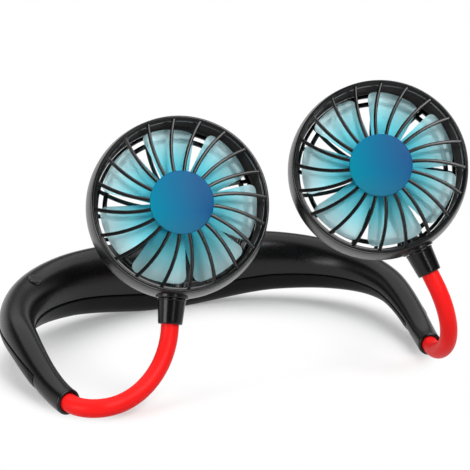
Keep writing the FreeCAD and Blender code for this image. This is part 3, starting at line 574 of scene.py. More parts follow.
def drum_black(side):
    """The drum's black: glossy outside, dull inside and at the corners of its boss."""
    finish = plastic(
        f"{side}_drum_black", level=(0.003, 0.006), rough=(0.22, 0.3), grain=1200, bump=0.03,
        specular=0.4,
    )
    tree, shader = finish.tree, finish.shader
    radius = from_axis(finish, side)
    outside = ranged(tree, radius, (DRUM_INNER + 0.1) * MM, (DRUM_INNER + 0.4) * MM)
    bright = ranged(tree, outside, 0, 1, 0.08, 0.36)
    boss = ranged(tree, radius, BOSS_DULL[0] * MM, BOSS_DULL[1] * MM, 0.0, 0.26)
    tree.links.new(combined(tree, "SUBTRACT", bright, boss), shader.inputs["Specular IOR Level"])
    grain = ranged(tree, finish.fine, 0, 1, 0.24, 0.32)
    dull = ranged(tree, outside, 0, 1, 0.3, 0.0)
    tree.links.new(combined(tree, "ADD", grain, dull), shader.inputs["Roughness"])
    return finish.material


def ice(side):
    """Frosted plastic of the impeller: cyan by the hub and pale blue at the tips."""
    finish = Finish(
        f"{side}_impeller_ice", dark=(0.5, 0.8, 0.9), light=(0.9, 0.95, 0.97),
        rough=(0.34, 0.46), grain=500, bump=0.03,
    )
    tree = finish.tree
    outward = ranged(tree, from_axis(finish, side), WHEEL_HUB * MM, BLADE_TIP * MM)
    grain = ranged(tree, finish.broad, 0, 1, -0.06, 0.06)
    stops = [(0.0, (0.06, 0.76, 0.95)), (0.4, (0.28, 0.89, 0.98)), (0.9, (0.72, 0.95, 0.98))]
    finish.colour(ramp_along(tree, combined(tree, "ADD", outward, grain), stops))
    return finish.set(Transmission_Weight=0.5, IOR=1.1, Specular_IOR_Level=0.3).material


BLACK_SHELL = plastic(
    "shell_black", level=(0.002, 0.003), rough=(0.24, 0.31), grain=2600, bump=0.04, specular=0.34,
).material
BLACK_BUTTON = plastic(
    "button_black", level=(0.006, 0.009), rough=(0.3, 0.38), grain=2600, bump=0.04, specular=0.6,
).material
BLACK_TRAY = hatched(plastic(
    "tray_black", level=(0.003, 0.006), rough=(0.3, 0.38), grain=2200, bump=0.14, specular=0.12,
), spacing=0.0007)
BLACK_GLOSS = plastic(
    "gloss_black", level=(0.002, 0.004), rough=(0.2, 0.28), grain=700, bump=0.03, specular=0.26,
    coat=0.06,
).material
BLACK_GRILLE = plastic(
    "grille_black", level=(0.003, 0.006), rough=(0.16, 0.22), grain=1200, bump=0.02, specular=0.42,
).material
LEAD = plastic("lead_black", level=(0.010, 0.018), rough=(0.4, 0.5), grain=900, bump=0.1).material
RED_SLEEVE = Finish(
    "sleeve_red", dark=(0.86, 0.009, 0.009), light=(0.94, 0.014, 0.013),
    rough=(0.36, 0.46), grain=900, bump=0.04,
).set(Specular_IOR_Level=0.12).material
BOARD = Finish(
    "board_green", dark=(0.01, 0.09, 0.035), light=(0.02, 0.14, 0.06),
    rough=(0.35, 0.5), grain=1500, bump=0.1,
).material
CLEAR = Finish(
    "light_pipe", dark=(0.8, 0.88, 0.92), light=(0.9, 0.95, 0.97),
    rough=(0.1, 0.2), grain=500, bump=0.05,
).set(Transmission_Weight=0.8).material
STEEL = metal("steel", (0.42, 0.43, 0.45), (0.58, 0.59, 0.61), (0.25, 0.4))
BRONZE = metal("bronze", (0.42, 0.26, 0.12), (0.55, 0.36, 0.18), (0.3, 0.42))
FOIL = metal("battery_foil", (0.5, 0.51, 0.53), (0.68, 0.69, 0.71), (0.3, 0.45))

NODE_MATERIALS = {
    "upper_shell": BLACK_SHELL, "lower_shell": BLACK_TRAY, "battery_pack": FOIL,
    "control_board": BOARD, "tact_switch": BLACK_GLOSS, "charge_board": BOARD, "usb_socket": STEEL,
    "charge_light": CLEAR, "shell_screws": STEEL, "power_button": BLACK_BUTTON,
}
SIDE_MATERIALS = {
    "collar": BLACK_GLOSS, "front_grille": BLACK_GRILLE, "rear_grille": BLACK_GRILLE,
    "motor_can": STEEL, "motor_bush": BRONZE, "motor_screws": STEEL, "motor_lead": LEAD,
    "motor_shaft": STEEL,
}
for part in ("root", "lower", "middle", "upper"):
    SIDE_MATERIALS[f"core_{part}"] = STEEL
    SIDE_MATERIALS[f"sleeve_{part}"] = RED_SLEEVE
for side in SIDES:
    NODE_MATERIALS.update({f"{side}_{node}": material for node, material in SIDE_MATERIALS.items()})
    NODE_MATERIALS[f"{side}_drum"] = drum_black(side)
    NODE_MATERIALS[f"{side}_centre_cap"] = cap_blue(side)
    NODE_MATERIALS[f"{side}_impeller"] = ice(side)


def dress(thing, material):
    """Puts one material on the whole piece."""
    if not thing.data.materials:
        thing.data.materials.append(material)
    for slot in thing.material_slots:
        slot.material = material


for node, material in NODE_MATERIALS.items():
    dress(frame["nodes"][node], material)


def stand_for(thing, body, node):
    """A finished piece takes its node's material, rides on the body and replaces the node."""
    dress(thing, NODE_MATERIALS[node])
    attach(thing, body)
    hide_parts(node)


# Neckband


def on_path(station):
    """The plan point, the outward normal and the way along the band at a station."""
    side = -1 if station < 0 else 1
    left, x, y, heading = abs(station), 0.0, 0.0, 0.0
    for radius, angle in PATH_ARCS:
        turn = min(left / radius, angle)
        x += radius * (math.sin(heading + turn) - math.sin(heading))
        y += radius * (math.cos(heading + turn) - math.cos(heading))
        heading += turn
        left -= turn * radius
    outward = Vector((side * math.sin(heading), math.cos(heading), 0))
    return Vector((side * x, y, 0)), outward, outward.cross(UP)


def smooth(values, end_slope, station):
    """A smooth line through one value per knot, level at the middle of the back."""
    place = min(abs(station), HALF_LENGTH)
    slopes = [0.0]
    for number in (1, 2):
        rise = values[number + 1] - values[number - 1]
        slopes.append(rise / (KNOTS[number + 1] - KNOTS[number - 1]))
    slopes.append(end_slope)
    number = max(i for i in range(3) if KNOTS[i] <= place)
    span = KNOTS[number + 1] - KNOTS[number]
    part = (place - KNOTS[number]) / span
    return (
        values[number] * (1 + 2 * part) * (1 - part) ** 2
        + slopes[number] * span * part * (1 - part) ** 2
        + values[number + 1] * part ** 2 * (3 - 2 * part)
        + slopes[number + 1] * span * part ** 2 * (part - 1)
    )


class Section:
    """The neckband's oval at a station, with the angles at which the seam meets its two sides."""

    def __init__(self, station):
        self.point, self.outward, self.along = on_path(station)
        self.wide = smooth(HALF_WIDTHS, 0.0, station)
        high = smooth(TOPS, TIP_SLOPE, station)
        self.low = smooth(BOTTOMS, TIP_SLOPE, station)
        self.tall = (high - self.low) / 2
        self.middle = (high + self.low) / 2
        rise = smooth(SEAM_RISES, 0.0, station)
        on_arm = blend_in(*ARM_BLEND, abs(station))
        self.inner_seam = self.angle_at(rise)
        self.outer_seam = self.angle_at(rise + OUTER_RISE * on_arm)
        self.proud = between((TRAY_PROUD, ARM_PROUD), on_arm)

    def angle_at(self, rise):
        """The angle on the oval at a height over its underside."""
        part = (self.low + rise - self.middle) / self.tall
        return math.asin(max(-SEAM_LIMIT, min(SEAM_LIMIT, part)))

    def at(self, angle, inset=0.0):
        """The point at an angle on the oval, drawn in by an inset and kept over the floor."""
        across = self.outward * ((self.wide - inset) * math.cos(angle))
        spot = self.point + across + UP * (self.middle + (self.tall - inset) * math.sin(angle))
        return Vector((spot.x, spot.y, max(0.0, spot.z)))

    def turn_for(self, length):
        """About the angle that a length takes on the oval beside the seam."""
        angle = self.inner_seam
        return length / math.hypot(self.wide * math.sin(angle), self.tall * math.cos(angle))


def shell_ring(station):
    """One ring of the upper shell: over the top from seam to seam, then back under the tray."""
    section = Section(station)
    start, end = section.outer_seam, math.pi - section.inner_seam
    under_tray = abs(station) < TRAY_END
    core = CORE_INSET if under_tray else 0.0
    soft = SEAM_ROUND if under_tray else 0.0
    turn = section.turn_for(SEAM_ROUND)
    edge = [(turn * near, soft * deep) for near, deep in quarter(4)[:-1]]
    ring = [section.at(start + swing, inset) for swing, inset in edge]
    ring += [section.at(angle) for angle in evenly(start + turn, end - turn, SHELL_STEPS[0])]
    ring += [section.at(end - swing, inset) for swing, inset in reversed(edge)]
    under = evenly(end, 2 * math.pi + start, SHELL_STEPS[1])
    ring += [section.at(angle, core) for angle in under]
    return ring


def tip_rings(station):
    """The rounded end of a tip, the bore for the arm and the bore's floor."""
    section = Section(station)
    base = shell_ring(station)
    push_way = section.along * (1 if station > 0 else -1)
    centre = section.point + UP * section.middle
    wall = section.wide - BORE_RADIUS
    steps = [(TIP_ROUND * near, TIP_ROUND * (1 - deep)) for near, deep in quarter(6)[1:]]
    steps += [(wall - inward, TIP_ROUND - back) for inward, back in BORE_LIP]
    steps.append((wall, TIP_ROUND - BORE_DEPTH))
    rings = []
    for pull, push in steps:
        scale = 1 - pull / section.wide
        rings.append([centre + (spot - centre) * scale + push_way * push for spot in base])
    return rings


def pocket(centre, way, across, wide, tall, reach, corner=0.0):
    """A cutter: an oval, or a box with soft corners, pushed both ways from its centre."""
    along = way.cross(across)
    if corner:
        shape = rounded([(-wide, -tall), (wide, -tall), (wide, tall), (-wide, tall)], corner)
        flat = [centre + across * a + along * b for a, b in shape]
    else:
        flat = oval_ring(centre, across, along, wide, tall)
    builder = Builder()
    builder.add([[spot + way * push for spot in flat] for push in reach], caps=True)
    return builder.finish("cutter")


def shell_pockets():
    """Cutters for the button's hole, the charging socket and the charge light."""
    inward = Vector(JOINTS["power_button_press"]["axis"]).normalized()
    section = Section(BUTTON_STATION)
    spot = section.at(math.pi / 2 + math.asin(BUTTON_INSET / section.wide))
    along = (section.along - inward * section.along.dot(inward)).normalized()
    cutters = [pocket(spot, inward, along, *BUTTON_HOLE, BUTTON_REACH)]
    section = Section(USB_STATION)
    mouth = section.point + section.outward * section.wide + UP * USB_LEVEL
    half = [side / 2 for side in USB_HOLE]
    cutters.append(pocket(mouth, section.outward, section.along, *half, USB_REACH, USB_CORNER))
    section = Section(LED_STATION)
    spot = section.point + section.outward * section.wide + UP * section.middle
    cutters.append(pocket(spot, section.outward, section.along, LED_HOLE, LED_HOLE, LED_REACH))
    return cutters


def upper_shell():
    """The upper shell: a whole tube, drawn in under the tray, with rounded tips and their bores."""
    reach = HALF_LENGTH - TIP_ROUND
    stations = evenly(-reach, reach, SHELL_RINGS)
    for end in (TRAY_END, -TRAY_END):
        stations += [end + step for step in TRAY_END_STEPS]
    stations.sort()
    rings = list(reversed(tip_rings(-reach)))
    rings += [shell_ring(station) for station in stations]
    rings += tip_rings(reach)
    builder = Builder()
    builder.add(rings, caps=True)
    thing = builder.finish("upper_shell_skin")
    cut_out(thing, shell_pockets())
    crease(thing)
    stand_for(thing, "neckband", "upper_shell")


def tray_ring(station):
    """One ring of the lower shell: its outer side, a little proud, and its inner side."""
    section = Section(station)
    gap = section.turn_for(SEAM_GAP)
    first, last = math.pi - section.inner_seam + gap, 2 * math.pi + section.outer_seam - gap
    left = TRAY_END - SEAM_GAP - abs(station)
    sink = TRAY_LIP * (1 - blend_in(0.0, TRAY_LIP, left))
    sink -= section.proud * blend_in(0.0, TRAY_TAPER, left)
    turn = section.turn_for(SEAM_ROUND)
    edge = [(turn * near, sink + SEAM_ROUND * deep) for near, deep in quarter(6)[:-1]]
    ring = [section.at(first + swing, inset) for swing, inset in edge]
    under = evenly(first + turn, last - turn, TRAY_STEPS[0])
    ring += [section.at(angle, sink) for angle in under]
    ring += [section.at(last - swing, inset) for swing, inset in reversed(edge)]
    ring += [section.at(angle, TRAY_DEPTH) for angle in evenly(last, first, TRAY_STEPS[1])]
    return ring


def tray():
    """The lower shell: a strip under the seam with tapered ends and holes for its screws."""
    reach = TRAY_END - SEAM_GAP
    stations = evenly(-reach, reach, TRAY_RINGS)
    for back in TRAY_LIP_STEPS:
        stations += [reach - back, back - reach]
    stations.sort()
    builder = Builder()
    builder.add([tray_ring(station) for station in stations], caps=True)
    thing = builder.finish("lower_shell_skin")
    cutters = []
    for station in SCREW_STATIONS:
        for sign in SIDES.values():
            section = Section(sign * station)
            spot = section.point + UP * section.low
            cutters.append(pocket(spot, UP, section.along, SCREW_HOLE, SCREW_HOLE, SCREW_REACH))
    cut_out(thing, cutters)
    crease(thing)
    stand_for(thing, "neckband", "lower_shell")


# Arms


def arc_to(start, way, end):
    """Centre, axis and angle of the arc that leaves start along way and passes through end."""
    chord = end - start
    axis = way.cross(chord).normalized()
    bend = axis.cross(way)
    radius = chord.length_squared / (2 * chord.dot(bend))
    angle = 2 * math.atan2(chord.dot(bend), chord.dot(way))
    return start + bend * radius, axis, angle


def arm_line(side):
    """The arm's line: spots with their ways, from inside the tip's bore to inside the collar."""
    sign = SIDES[side]
    along = on_path(sign * HALF_LENGTH)[2]
    pitch = math.atan(-TIP_SLOPE)
    way = along * (sign * math.cos(pitch)) - UP * math.sin(pitch)
    names = ("arm_sway", "arm_bend", "arm_curl", "head_turn")
    tip, low, high, foot = (Vector(JOINTS[f"{side}_{name}"]["pos_m"]) / MM for name in names)
    line = [(tip - way * depth, way.copy()) for depth in evenly(ROOT_DEPTH, 0.0, 3)]
    marks = [len(line) - 1]
    spot = tip
    for target, repeat in ((low, 1), (high, 2)):
        centre, axis, angle = arc_to(spot, way, target)
        for number in range(1, ARC_STEPS * repeat + 1):
            swing = Matrix.Rotation(angle * number / ARC_STEPS, 3, axis)
            line.append((centre + swing @ (spot - centre), swing @ way))
            if number == ARC_STEPS:
                marks.append(len(line) - 1)
        spot, way = line[-1]
    rest = (foot - spot).length + SOCKET_DEPTH
    line += [(spot + way * step, way) for step in evenly(0.0, rest, 4)[1:]]
    return line, marks


def tube_rings(line, radius):
    """Rings square to a line, turned as little as possible from one to the next."""
    rings = []
    across = line[0][1].orthogonal().normalized()
    for spot, way in line:
        across = (across - way * across.dot(way)).normalized()
        rings.append(oval_ring(spot, across, way.cross(across), radius, radius))
    return rings


def flexible(side, layer, radius, bore=0):
    """The arm's core or sleeve: three stretches that meet between the hinges they bend about."""
    line, marks = arm_line(side)
    cuts = [0, (marks[0] + marks[1]) // 2, (marks[1] + marks[2]) // 2, len(line) - 1]
    nodes = [("root", "lower"), ("middle",), ("upper",)]
    outside = tube_rings(line, radius)
    inside = tube_rings(line, bore) if bore else []
    for number in range(3):
        first, last = cuts[number], cuts[number + 1]
        builder = Builder()
        skin = outside[first:last + 1]
        if bore:
            builder.add(skin + inside[first:last + 1][::-1] + skin[:1])
        else:
            builder.add(skin, caps=True)
        thing = builder.finish(f"{side}_{layer}_stretch_{number + 1}")
        thing.data.set_sharp_from_angle(angle=math.radians(SHARP_ANGLE))
        dress(thing, SIDE_MATERIALS[f"{layer}_{nodes[number][0]}"])
        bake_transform(thing)
        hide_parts(*[f"{side}_{layer}_{node}" for node in nodes[number]])


# Collars and fan heads


def mount(builder, side, node, body, place, angle=SMALL_SHARP_ANGLE):
    """Finishes the skin of a side's node and puts it on a body of that side."""
    thing = builder.finish(f"{side}_{node}_skin", place)
    crease(thing, angle)
    stand_for(thing, f"{side}_{body}", f"{side}_{node}")


def collar(side):
    """The tapered collar: a foot around the sleeve and a mouth for the head's stem."""
    turn = JOINTS[f"{side}_head_turn"]
    way = Vector(turn["axis"]).normalized()
    across = way.orthogonal().normalized()
    place = Matrix((across, way.cross(across), way)).transposed().to_4x4()
    place.translation = Vector(turn["pos_m"])
    corners = [
        (COLLAR_SOCKET, 0.0), (COLLAR_FOOT, 0.0), (COLLAR_FOOT + COLLAR_STEP, COLLAR_BAND),
        (COLLAR_NECK - COLLAR_STEP, COLLAR_LENGTH - COLLAR_LIP[0]),
        (COLLAR_NECK, COLLAR_LENGTH - COLLAR_LIP[1]),
        (COLLAR_NECK, COLLAR_LENGTH), (COLLAR_MOUTH, COLLAR_LENGTH),
        (COLLAR_MOUTH, COLLAR_WEB), (COLLAR_HOLE, COLLAR_WEB),
        (COLLAR_HOLE, COLLAR_SEAT), (COLLAR_SOCKET, COLLAR_SEAT),
    ]
    softness = [0.25, 0.45, 0.3, 0.25, 0.25, 0.2, 0.2, 0, 0, 0, 0]
    builder = Builder()
    builder.lathe(rounded(corners, softness), COLLAR_SIDES)
    mount(builder, side, "collar", "upper_link", place)


def head_place(side):
    """The head's frame, in metres: Y from the collar to the fan's middle, Z out of its front."""
    turn, spin = JOINTS[f"{side}_head_turn"], JOINTS[f"{side}_fan_spin"]
    front, rise = Vector(spin["axis"]).normalized(), Vector(turn["axis"]).normalized()
    grid = Matrix((rise.cross(front), rise, front)).transposed().to_4x4()
    grid.translation = Vector(spin["pos_m"])
    return grid


def drum_radius(height):
    """The outside of the drum: an arc from its rear edge to its front edge."""
    rear, front = Vector((DRUM_FLARE, DRUM_REAR)), Vector((FAN_RADIUS, DRUM_FRONT))
    chord = front - rear
    inward = Vector((-chord.y, chord.x)).normalized()
    centre = (rear + front) / 2 + inward * math.sqrt(DRUM_ARC ** 2 - chord.length_squared / 4)
    return centre.x + math.sqrt(DRUM_ARC ** 2 - (height - centre.y) ** 2)


def drum(side, place):
    """The drum's bulging wall with soft edges and a fine groove, its boss and the stem under it."""
    inside = [
        (DRUM_INNER, DRUM_FRONT), (DRUM_INNER, DRUM_REAR + DRUM_BEVEL[1]),
        (DRUM_INNER + DRUM_BEVEL[0], DRUM_REAR),
    ]
    wall = []
    for near, deep in quarter(7):
        height = DRUM_REAR + DRUM_SOFT * near
        wall.append((drum_radius(height) - DRUM_SOFT * deep, height))
    for height in evenly(DRUM_REAR + DRUM_SOFT + WALL_MARGIN[0], DRUM_FRONT - WALL_MARGIN[1], 28):
        if abs(height - GROOVE_LEVEL) > GROOVE_CLEAR:
            wall.append((drum_radius(height), height))
    for shift, depth in GROOVE_SHAPE:
        height = GROOVE_LEVEL + shift
        wall.append((drum_radius(height) - depth, height))
    wall.sort(key=lambda spot: (spot[1], spot[0]))
    lip = [(FAN_RADIUS - inward, DRUM_FRONT - back) for inward, back in DRUM_LIP]
    builder = Builder()
    builder.lathe(inside + wall + lip, DRUM_SIDES)
    down = Vector((0, -1, 0))
    across = Vector((1, 0, 0))
    steps = [(BOSS_RADIUS, BOSS_ROOT)]
    for near, deep in quarter(5):
        steps.append((BOSS_RADIUS - BOSS_SOFT * near, BOSS_REACH - BOSS_SOFT * deep))
    steps += [(STEM_RADIUS, BOSS_REACH), (STEM_RADIUS, STEM_REACH)]
    rings = []
    for radius, reach in steps:
        rings.append(oval_ring(down * reach, across, UP, radius, radius, STEM_SIDES))
    builder.add(rings, caps=True)
    mount(builder, side, "drum", "head", place, SHARP_ANGLE)


def dome_height(radius):
    """The top of the front grille's spokes at a radius: a low arch from the hub to the rim."""
    rim_inner, high = FAN_RADIUS - RIM_WIDTH, DRUM_FRONT + RIM_HEIGHT
    near, far = GRILLE_HUB - DOME_MARGIN, rim_inner + DOME_MARGIN
    part = (radius - near) / (far - near)
    return high + DOME_RISE * (1 - part) + DOME_BULGE * 4 * part * (1 - part)


def spoke_line(inner, outer, turn, height):
    """A curved spoke's line: radial at the hub and leaning clockwise towards the rim."""
    x, y = outer * math.cos(SPOKE_SWEEP), outer * math.sin(SPOKE_SWEEP)
    bend = ((x - inner) ** 2 + y ** 2) / (2 * y)
    reach = math.asin((x - inner) / bend)
    line = []
    for swing in evenly(0.0, reach, 24):
        spot = Vector((inner + bend * math.sin(swing), -bend + bend * math.cos(swing), 0))
        spot.rotate(Matrix.Rotation(turn, 3, "Z"))
        spot.z = height(math.hypot(spot.x, spot.y))
        line.append(spot)
    return line


def bar_rings(line, shape):
    """A bar of one section along a line. The section's points lie across the line and along Z."""
    rings = []
    for number, spot in enumerate(line):
        ahead = line[min(number + 1, len(line) - 1)] - line[max(number - 1, 0)]
        across = UP.cross(ahead).normalized()
        rings.append([spot + across * a + UP * b for a, b in shape])
    return rings


def spokes(builder, hub, rim, height, shape):
    """Adds all the spokes between a hub and a rim, sunk a little into both."""
    inner, outer = hub - SPOKE_SINK[0], rim + SPOKE_SINK[1]
    for number in range(SPOKE_COUNT):
        turn = 2 * math.pi * number / SPOKE_COUNT
        builder.add(bar_rings(spoke_line(inner, outer, turn, height), shape), caps=True)


def front_grille(side, place):
    """The rim with its raised lip, the hub ring and the swirl of round-topped spokes."""
    builder = Builder()
    inner = FAN_RADIUS - RIM_WIDTH
    low, high = DRUM_FRONT + RIM_GAP, DRUM_FRONT + RIM_HEIGHT
    rim = [(inner, low), (FAN_RADIUS - RIM_BEVEL, low), (FAN_RADIUS, low + RIM_BEVEL)]
    rim.append((FAN_RADIUS, high))
    rim += [(FAN_RADIUS - inward, high - down) for inward, down in RIM_LIP]
    rim.append((inner, high - RIM_DROP))
    builder.lathe(rounded(rim, [0.2, 0.1, 0.1, 0.6, 0.2, 0.15, 0.3]), DRUM_SIDES)
    crown = high + DOME_RISE
    hub = box_profile(GRILLE_HUB_HOLE, GRILLE_HUB, crown - SPOKE_DEPTH, crown)
    builder.lathe(rounded(hub, 0.35), HUB_SIDES)
    half = SPOKE_WIDTH / 2
    foot = half * SPOKE_TAPER
    bar = [(-half, 0), (half, 0), (foot, -SPOKE_DEPTH), (-foot, -SPOKE_DEPTH)]
    spokes(builder, GRILLE_HUB, inner, dome_height, rounded(bar, [0.6, 0.6, 0.25, 0.25]))
    mount(builder, side, "front_grille", "head", place)


def centre_cap(side, place):
    """The domed disc with a soft edge and a fine step around it, and its spigot."""
    base = DRUM_FRONT + RIM_HEIGHT + DOME_RISE
    foot, top = base - SPIGOT_DEPTH, base + CAP_EDGE
    profile = [
        (0.0, foot), (SPIGOT_RADIUS - SPIGOT_BEVEL, foot), (SPIGOT_RADIUS, foot + SPIGOT_BEVEL),
        (SPIGOT_RADIUS, base), (CAP_RADIUS - CAP_BEVEL, base), (CAP_RADIUS, base + CAP_BEVEL),
    ]
    profile += [(CAP_RADIUS - CAP_SOFT * near, top - CAP_SOFT * deep) for near, deep in quarter(6)]
    for radius in evenly(CAP_RADIUS - CAP_SOFT, 0.0, 16)[1:]:
        profile.append((radius, top + CAP_DOME * (1 - (radius / CAP_RADIUS) ** 2)))
    builder = Builder()
    builder.lathe(profile, CAP_SIDES)
    mount(builder, side, "centre_cap", "head", place)


def rear_grille(side, place):
    """Two rings, curved spokes, the hub with the motor's cup and the duct for the motor's lead."""
    builder = Builder()
    low, high = DRUM_REAR, REAR_HIGH
    builder.lathe(rounded(box_profile(*REAR_RIM, low, high), 0.3), DRUM_SIDES)
    builder.lathe(rounded(box_profile(*REAR_RING, low, high), 0.5), DRUM_SIDES)
    cup_inner, cup_outer = MOTOR_CUP
    hub = [
        (0.0, low), (REAR_HUB, low), (REAR_HUB, high), (cup_outer, high),
        (cup_outer, MOTOR_CUP_TOP), (cup_inner, MOTOR_CUP_TOP), (cup_inner, high), (0.0, high),
    ]
    builder.lathe(rounded(hub, [0, 0.6, 0.3, 0.3, 0.3, 0.3, 0.1, 0]), HUB_SIDES)
    half, deep = SPOKE_WIDTH / 2, high - low
    shape = rounded([(-half, 0), (half, 0), (half, -deep), (-half, -deep)], [0.3, 0.3, 0.6, 0.6])
    spokes(builder, REAR_HUB, REAR_RIM[0], lambda radius: high, shape)
    half = DUCT_WIDTH / 2
    shape = rounded([(-half, 0), (half, 0), (half, -deep), (-half, -deep)], [0.3, 0.3, 0.8, 0.8])
    duct = [Vector((0, -reach, high)) for reach in DUCT_REACHES]
    builder.add(bar_rings(duct, shape), caps=True)
    mount(builder, side, "rear_grille", "head", place)


def blade_point(radius, chordwise, lift):
    """A point of a blade: how far out, how far along its chord from -1 to 1, and off its middle."""
    part = (radius - BLADE_ROOT) / (DRUM_INNER - BLADE_ROOT)
    pitch = math.radians(between(BLADE_PITCH, part))
    corner_long, corner_wide = BLADE_CORNER
    corner = max(0.0, (radius - BLADE_TIP + corner_long) / corner_long)
    half = between(BLADE_CHORD, part) / 2 - corner_wide * (1 - math.sqrt(1 - corner ** 2))
    along = half * chordwise
    off = lift + BLADE_CAMBER * (1 - chordwise ** 2)
    y = along * math.cos(pitch) - off * math.sin(pitch)
    z = BLADE_LEVEL + along * math.sin(pitch) + off * math.cos(pitch)
    return Vector((math.sqrt(max(0.0, radius ** 2 - y ** 2)), y, z))


def blade_rings():
    """A blade from inside the hub to its soft-cornered tip, with thin edges."""
    rings = []
    corner = BLADE_TIP - BLADE_CORNER[0]
    for radius in evenly(BLADE_ROOT, corner, 14) + evenly(corner, BLADE_TIP, 8)[1:]:
        thick = between(BLADE_HALF_THICK, (radius - BLADE_ROOT) / (BLADE_TIP - BLADE_ROOT))
        upper, lower = [], []
        for turn in evenly(0.0, math.pi, BLADE_STEPS):
            chordwise = -math.cos(turn)
            half = thick * between((BLADE_EDGE, 1.0), math.sqrt(max(0.0, 1 - chordwise ** 2)))
            upper.append(blade_point(radius, chordwise, half))
            lower.append(blade_point(radius, chordwise, -half))
        rings.append(upper + list(reversed(lower)))
    return rings


def impeller(side, place):
    """The hub cup with its soft front edge and inner boss, and the twisted blades."""
    builder = Builder()
    inside, inner = WHEEL_FRONT - WHEEL_WALL, WHEEL_HUB - WHEEL_WALL
    hole_end = inside + WHEEL_WALL / 2
    hub = [
        (0.0, WHEEL_FRONT), (WHEEL_HUB, WHEEL_FRONT), (WHEEL_HUB, WHEEL_REAR), (inner, WHEEL_REAR),
        (inner, inside), (WHEEL_BOSS[0], inside), WHEEL_BOSS,
        (SHAFT_HOLE, WHEEL_BOSS[1]), (SHAFT_HOLE, hole_end), (0.0, hole_end),
    ]
    builder.lathe(rounded(hub, [0, 1.4, 0.3, 0.3, 0.5, 0.3, 0.2, 0.1, 0, 0]), HUB_SIDES)
    rings = blade_rings()
    for number in range(BLADE_COUNT):
        turn = Matrix.Rotation(2 * math.pi * number / BLADE_COUNT, 3, "Z")
        builder.add([[turn @ spot for spot in ring] for ring in rings], caps=True)
    mount(builder, side, "impeller", "impeller_wheel", place)


upper_shell()
tray()
for side in SIDES:
    flexible(side, "core", CORE_RADIUS)
    flexible(side, "sleeve", SLEEVE_RADIUS, SLEEVE_BORE)
    collar(side)
    place = head_place(side)
    for make in (drum, front_grille, centre_cap, rear_grille, impeller):
        make(side, place)


# Stage, light and camera


def any_ray(tree, *kinds):
    """1 for a ray of any of these kinds."""
    path = tree.nodes.new("ShaderNodeLightPath")
    found, *others = (path.outputs[f"Is {kind} Ray"] for kind in kinds)
    for other in others:
        found = combined(tree, "MAXIMUM", found, other)
    return found


def floor():
    """A white floor that takes the shadow near the object and is plain white farther off."""
    material, tree, shader = new_material("floor_white")
    shader.inputs["Roughness"].default_value = 0.9
    shader.inputs["Specular IOR Level"].default_value = 0.0
    coords = tree.nodes.new("ShaderNodeTexCoord").outputs["Object"]
    noise = noise_of(tree, coords, 30, 2)
    seen = any_ray(tree, "Camera", "Glossy", "Transmission")
    white = ramp_along(tree, noise, [(0.3, (0.95, 0.95, 0.95)), (0.7, (0.97, 0.97, 0.97))])
    dim = ramp_along(tree, noise, [(0.3, (0.48, 0.48, 0.48)), (0.7, (0.52, 0.52, 0.52))])
    tree.links.new(mixed(tree, seen, dim, white), shader.inputs["Base Color"])
    glow = tree.nodes.new("ShaderNodeEmission")
    middle = vector_step(tree, "SUBTRACT", coords, SHADOW_CENTRE).outputs["Vector"]
    squeeze = (1 / SHADOW_RING[0], 1 / SHADOW_RING[1], 0)
    even = vector_step(tree, "MULTIPLY", middle, squeeze).outputs["Vector"]
    radius = vector_step(tree, "LENGTH", even).outputs["Value"]
    aside = combined(tree, "SUBTRACT", radius, 1.0)
    outside = combined(tree, "MULTIPLY", aside, SHADOW_OUTER_RATE)
    inside = combined(tree, "MULTIPLY", aside, -1.0)
    away = combined(tree, "MAXIMUM", outside, inside)
    far = ranged(tree, away, *SHADOW_FADE, low=SHADOW_LIFT, way="SMOOTHSTEP")
    mix = tree.nodes.new("ShaderNodeMixShader")
    tree.links.new(combined(tree, "MULTIPLY", seen, far), mix.inputs["Fac"])
    tree.links.new(shader.outputs["BSDF"], mix.inputs[1])
    tree.links.new(glow.outputs["Emission"], mix.inputs[2])
    tree.links.new(mix.outputs["Shader"], tree.nodes["Material Output"].inputs["Surface"])
    bpy.ops.mesh.primitive_plane_add(size=FLOOR_SIZE, location=(0, 0, 0))
    thing = bpy.context.object
    thing.name = "floor"
    thing.data.materials.append(material)


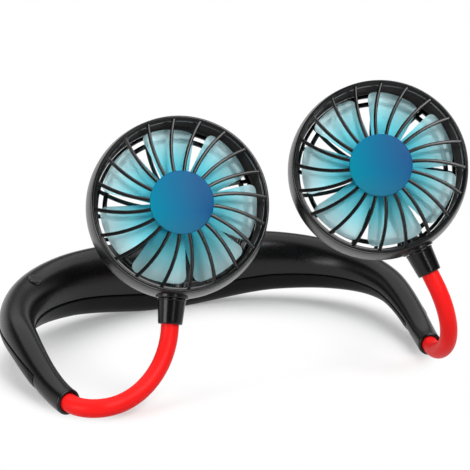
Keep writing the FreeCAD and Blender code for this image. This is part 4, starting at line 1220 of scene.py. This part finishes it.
def world():
    """A white backdrop low behind the object and a dim room around it."""
    studio = bpy.data.worlds.new("studio")
    bpy.context.scene.world = studio
    studio.use_nodes = True
    tree = studio.node_tree
    split = tree.nodes.new("ShaderNodeSeparateXYZ")
    coords = tree.nodes.new("ShaderNodeTexCoord").outputs["Generated"]
    tree.links.new(coords, split.inputs["Vector"])
    behind = ranged(tree, split.outputs["Y"], *BACKDROP_DEPTH)
    low = ranged(tree, split.outputs["Z"], *BACKDROP_HEIGHT)
    both = combined(tree, "MULTIPLY", behind, low)
    backdrop = ranged(tree, both, 0, 1, ROOM_LEVEL, 1.0)
    plain = any_ray(tree, "Camera", "Transmission")
    sky = tree.nodes["Background"]
    tree.links.new(combined(tree, "MAXIMUM", backdrop, plain), sky.inputs["Strength"])
    sky.inputs["Color"].default_value = (1, 1, 1, 1)


def area_light(name, spot, target, size, power):
    """A rectangular light at a spot, turned to its target."""
    data = bpy.data.lights.new(name, "AREA")
    data.shape = "RECTANGLE"
    data.size, data.size_y = size
    data.energy = power
    thing = bpy.data.objects.new(name, data)
    bpy.context.scene.collection.objects.link(thing)
    thing.location = spot
    thing.rotation_euler = (Vector(target) - Vector(spot)).to_track_quat("-Z", "Y").to_euler()


def camera():
    """The camera that took the photo, as solved from it."""
    data = bpy.data.cameras.new("camera")
    data.sensor_width = SENSOR_WIDTH
    data.lens = FOCAL_PIXELS / PICTURE * data.sensor_width
    data.clip_start = CLIP_START
    thing = bpy.data.objects.new("camera", data)
    bpy.context.scene.collection.objects.link(thing)
    back = Vector((
        math.sin(CAMERA_AZIMUTH) * math.cos(CAMERA_ELEVATION),
        -math.cos(CAMERA_AZIMUTH) * math.cos(CAMERA_ELEVATION),
        math.sin(CAMERA_ELEVATION),
    ))
    grid = Matrix((CAMERA_RIGHT, back.cross(CAMERA_RIGHT), back)).transposed().to_4x4()
    grid.translation = CAMERA_TARGET + back * CAMERA_DISTANCE
    thing.matrix_world = grid
    bpy.context.scene.camera = thing


floor()
world()
for name, light in LIGHTS.items():
    area_light(name, *light)
camera()
bpy.context.scene.view_settings.view_transform = "Standard"
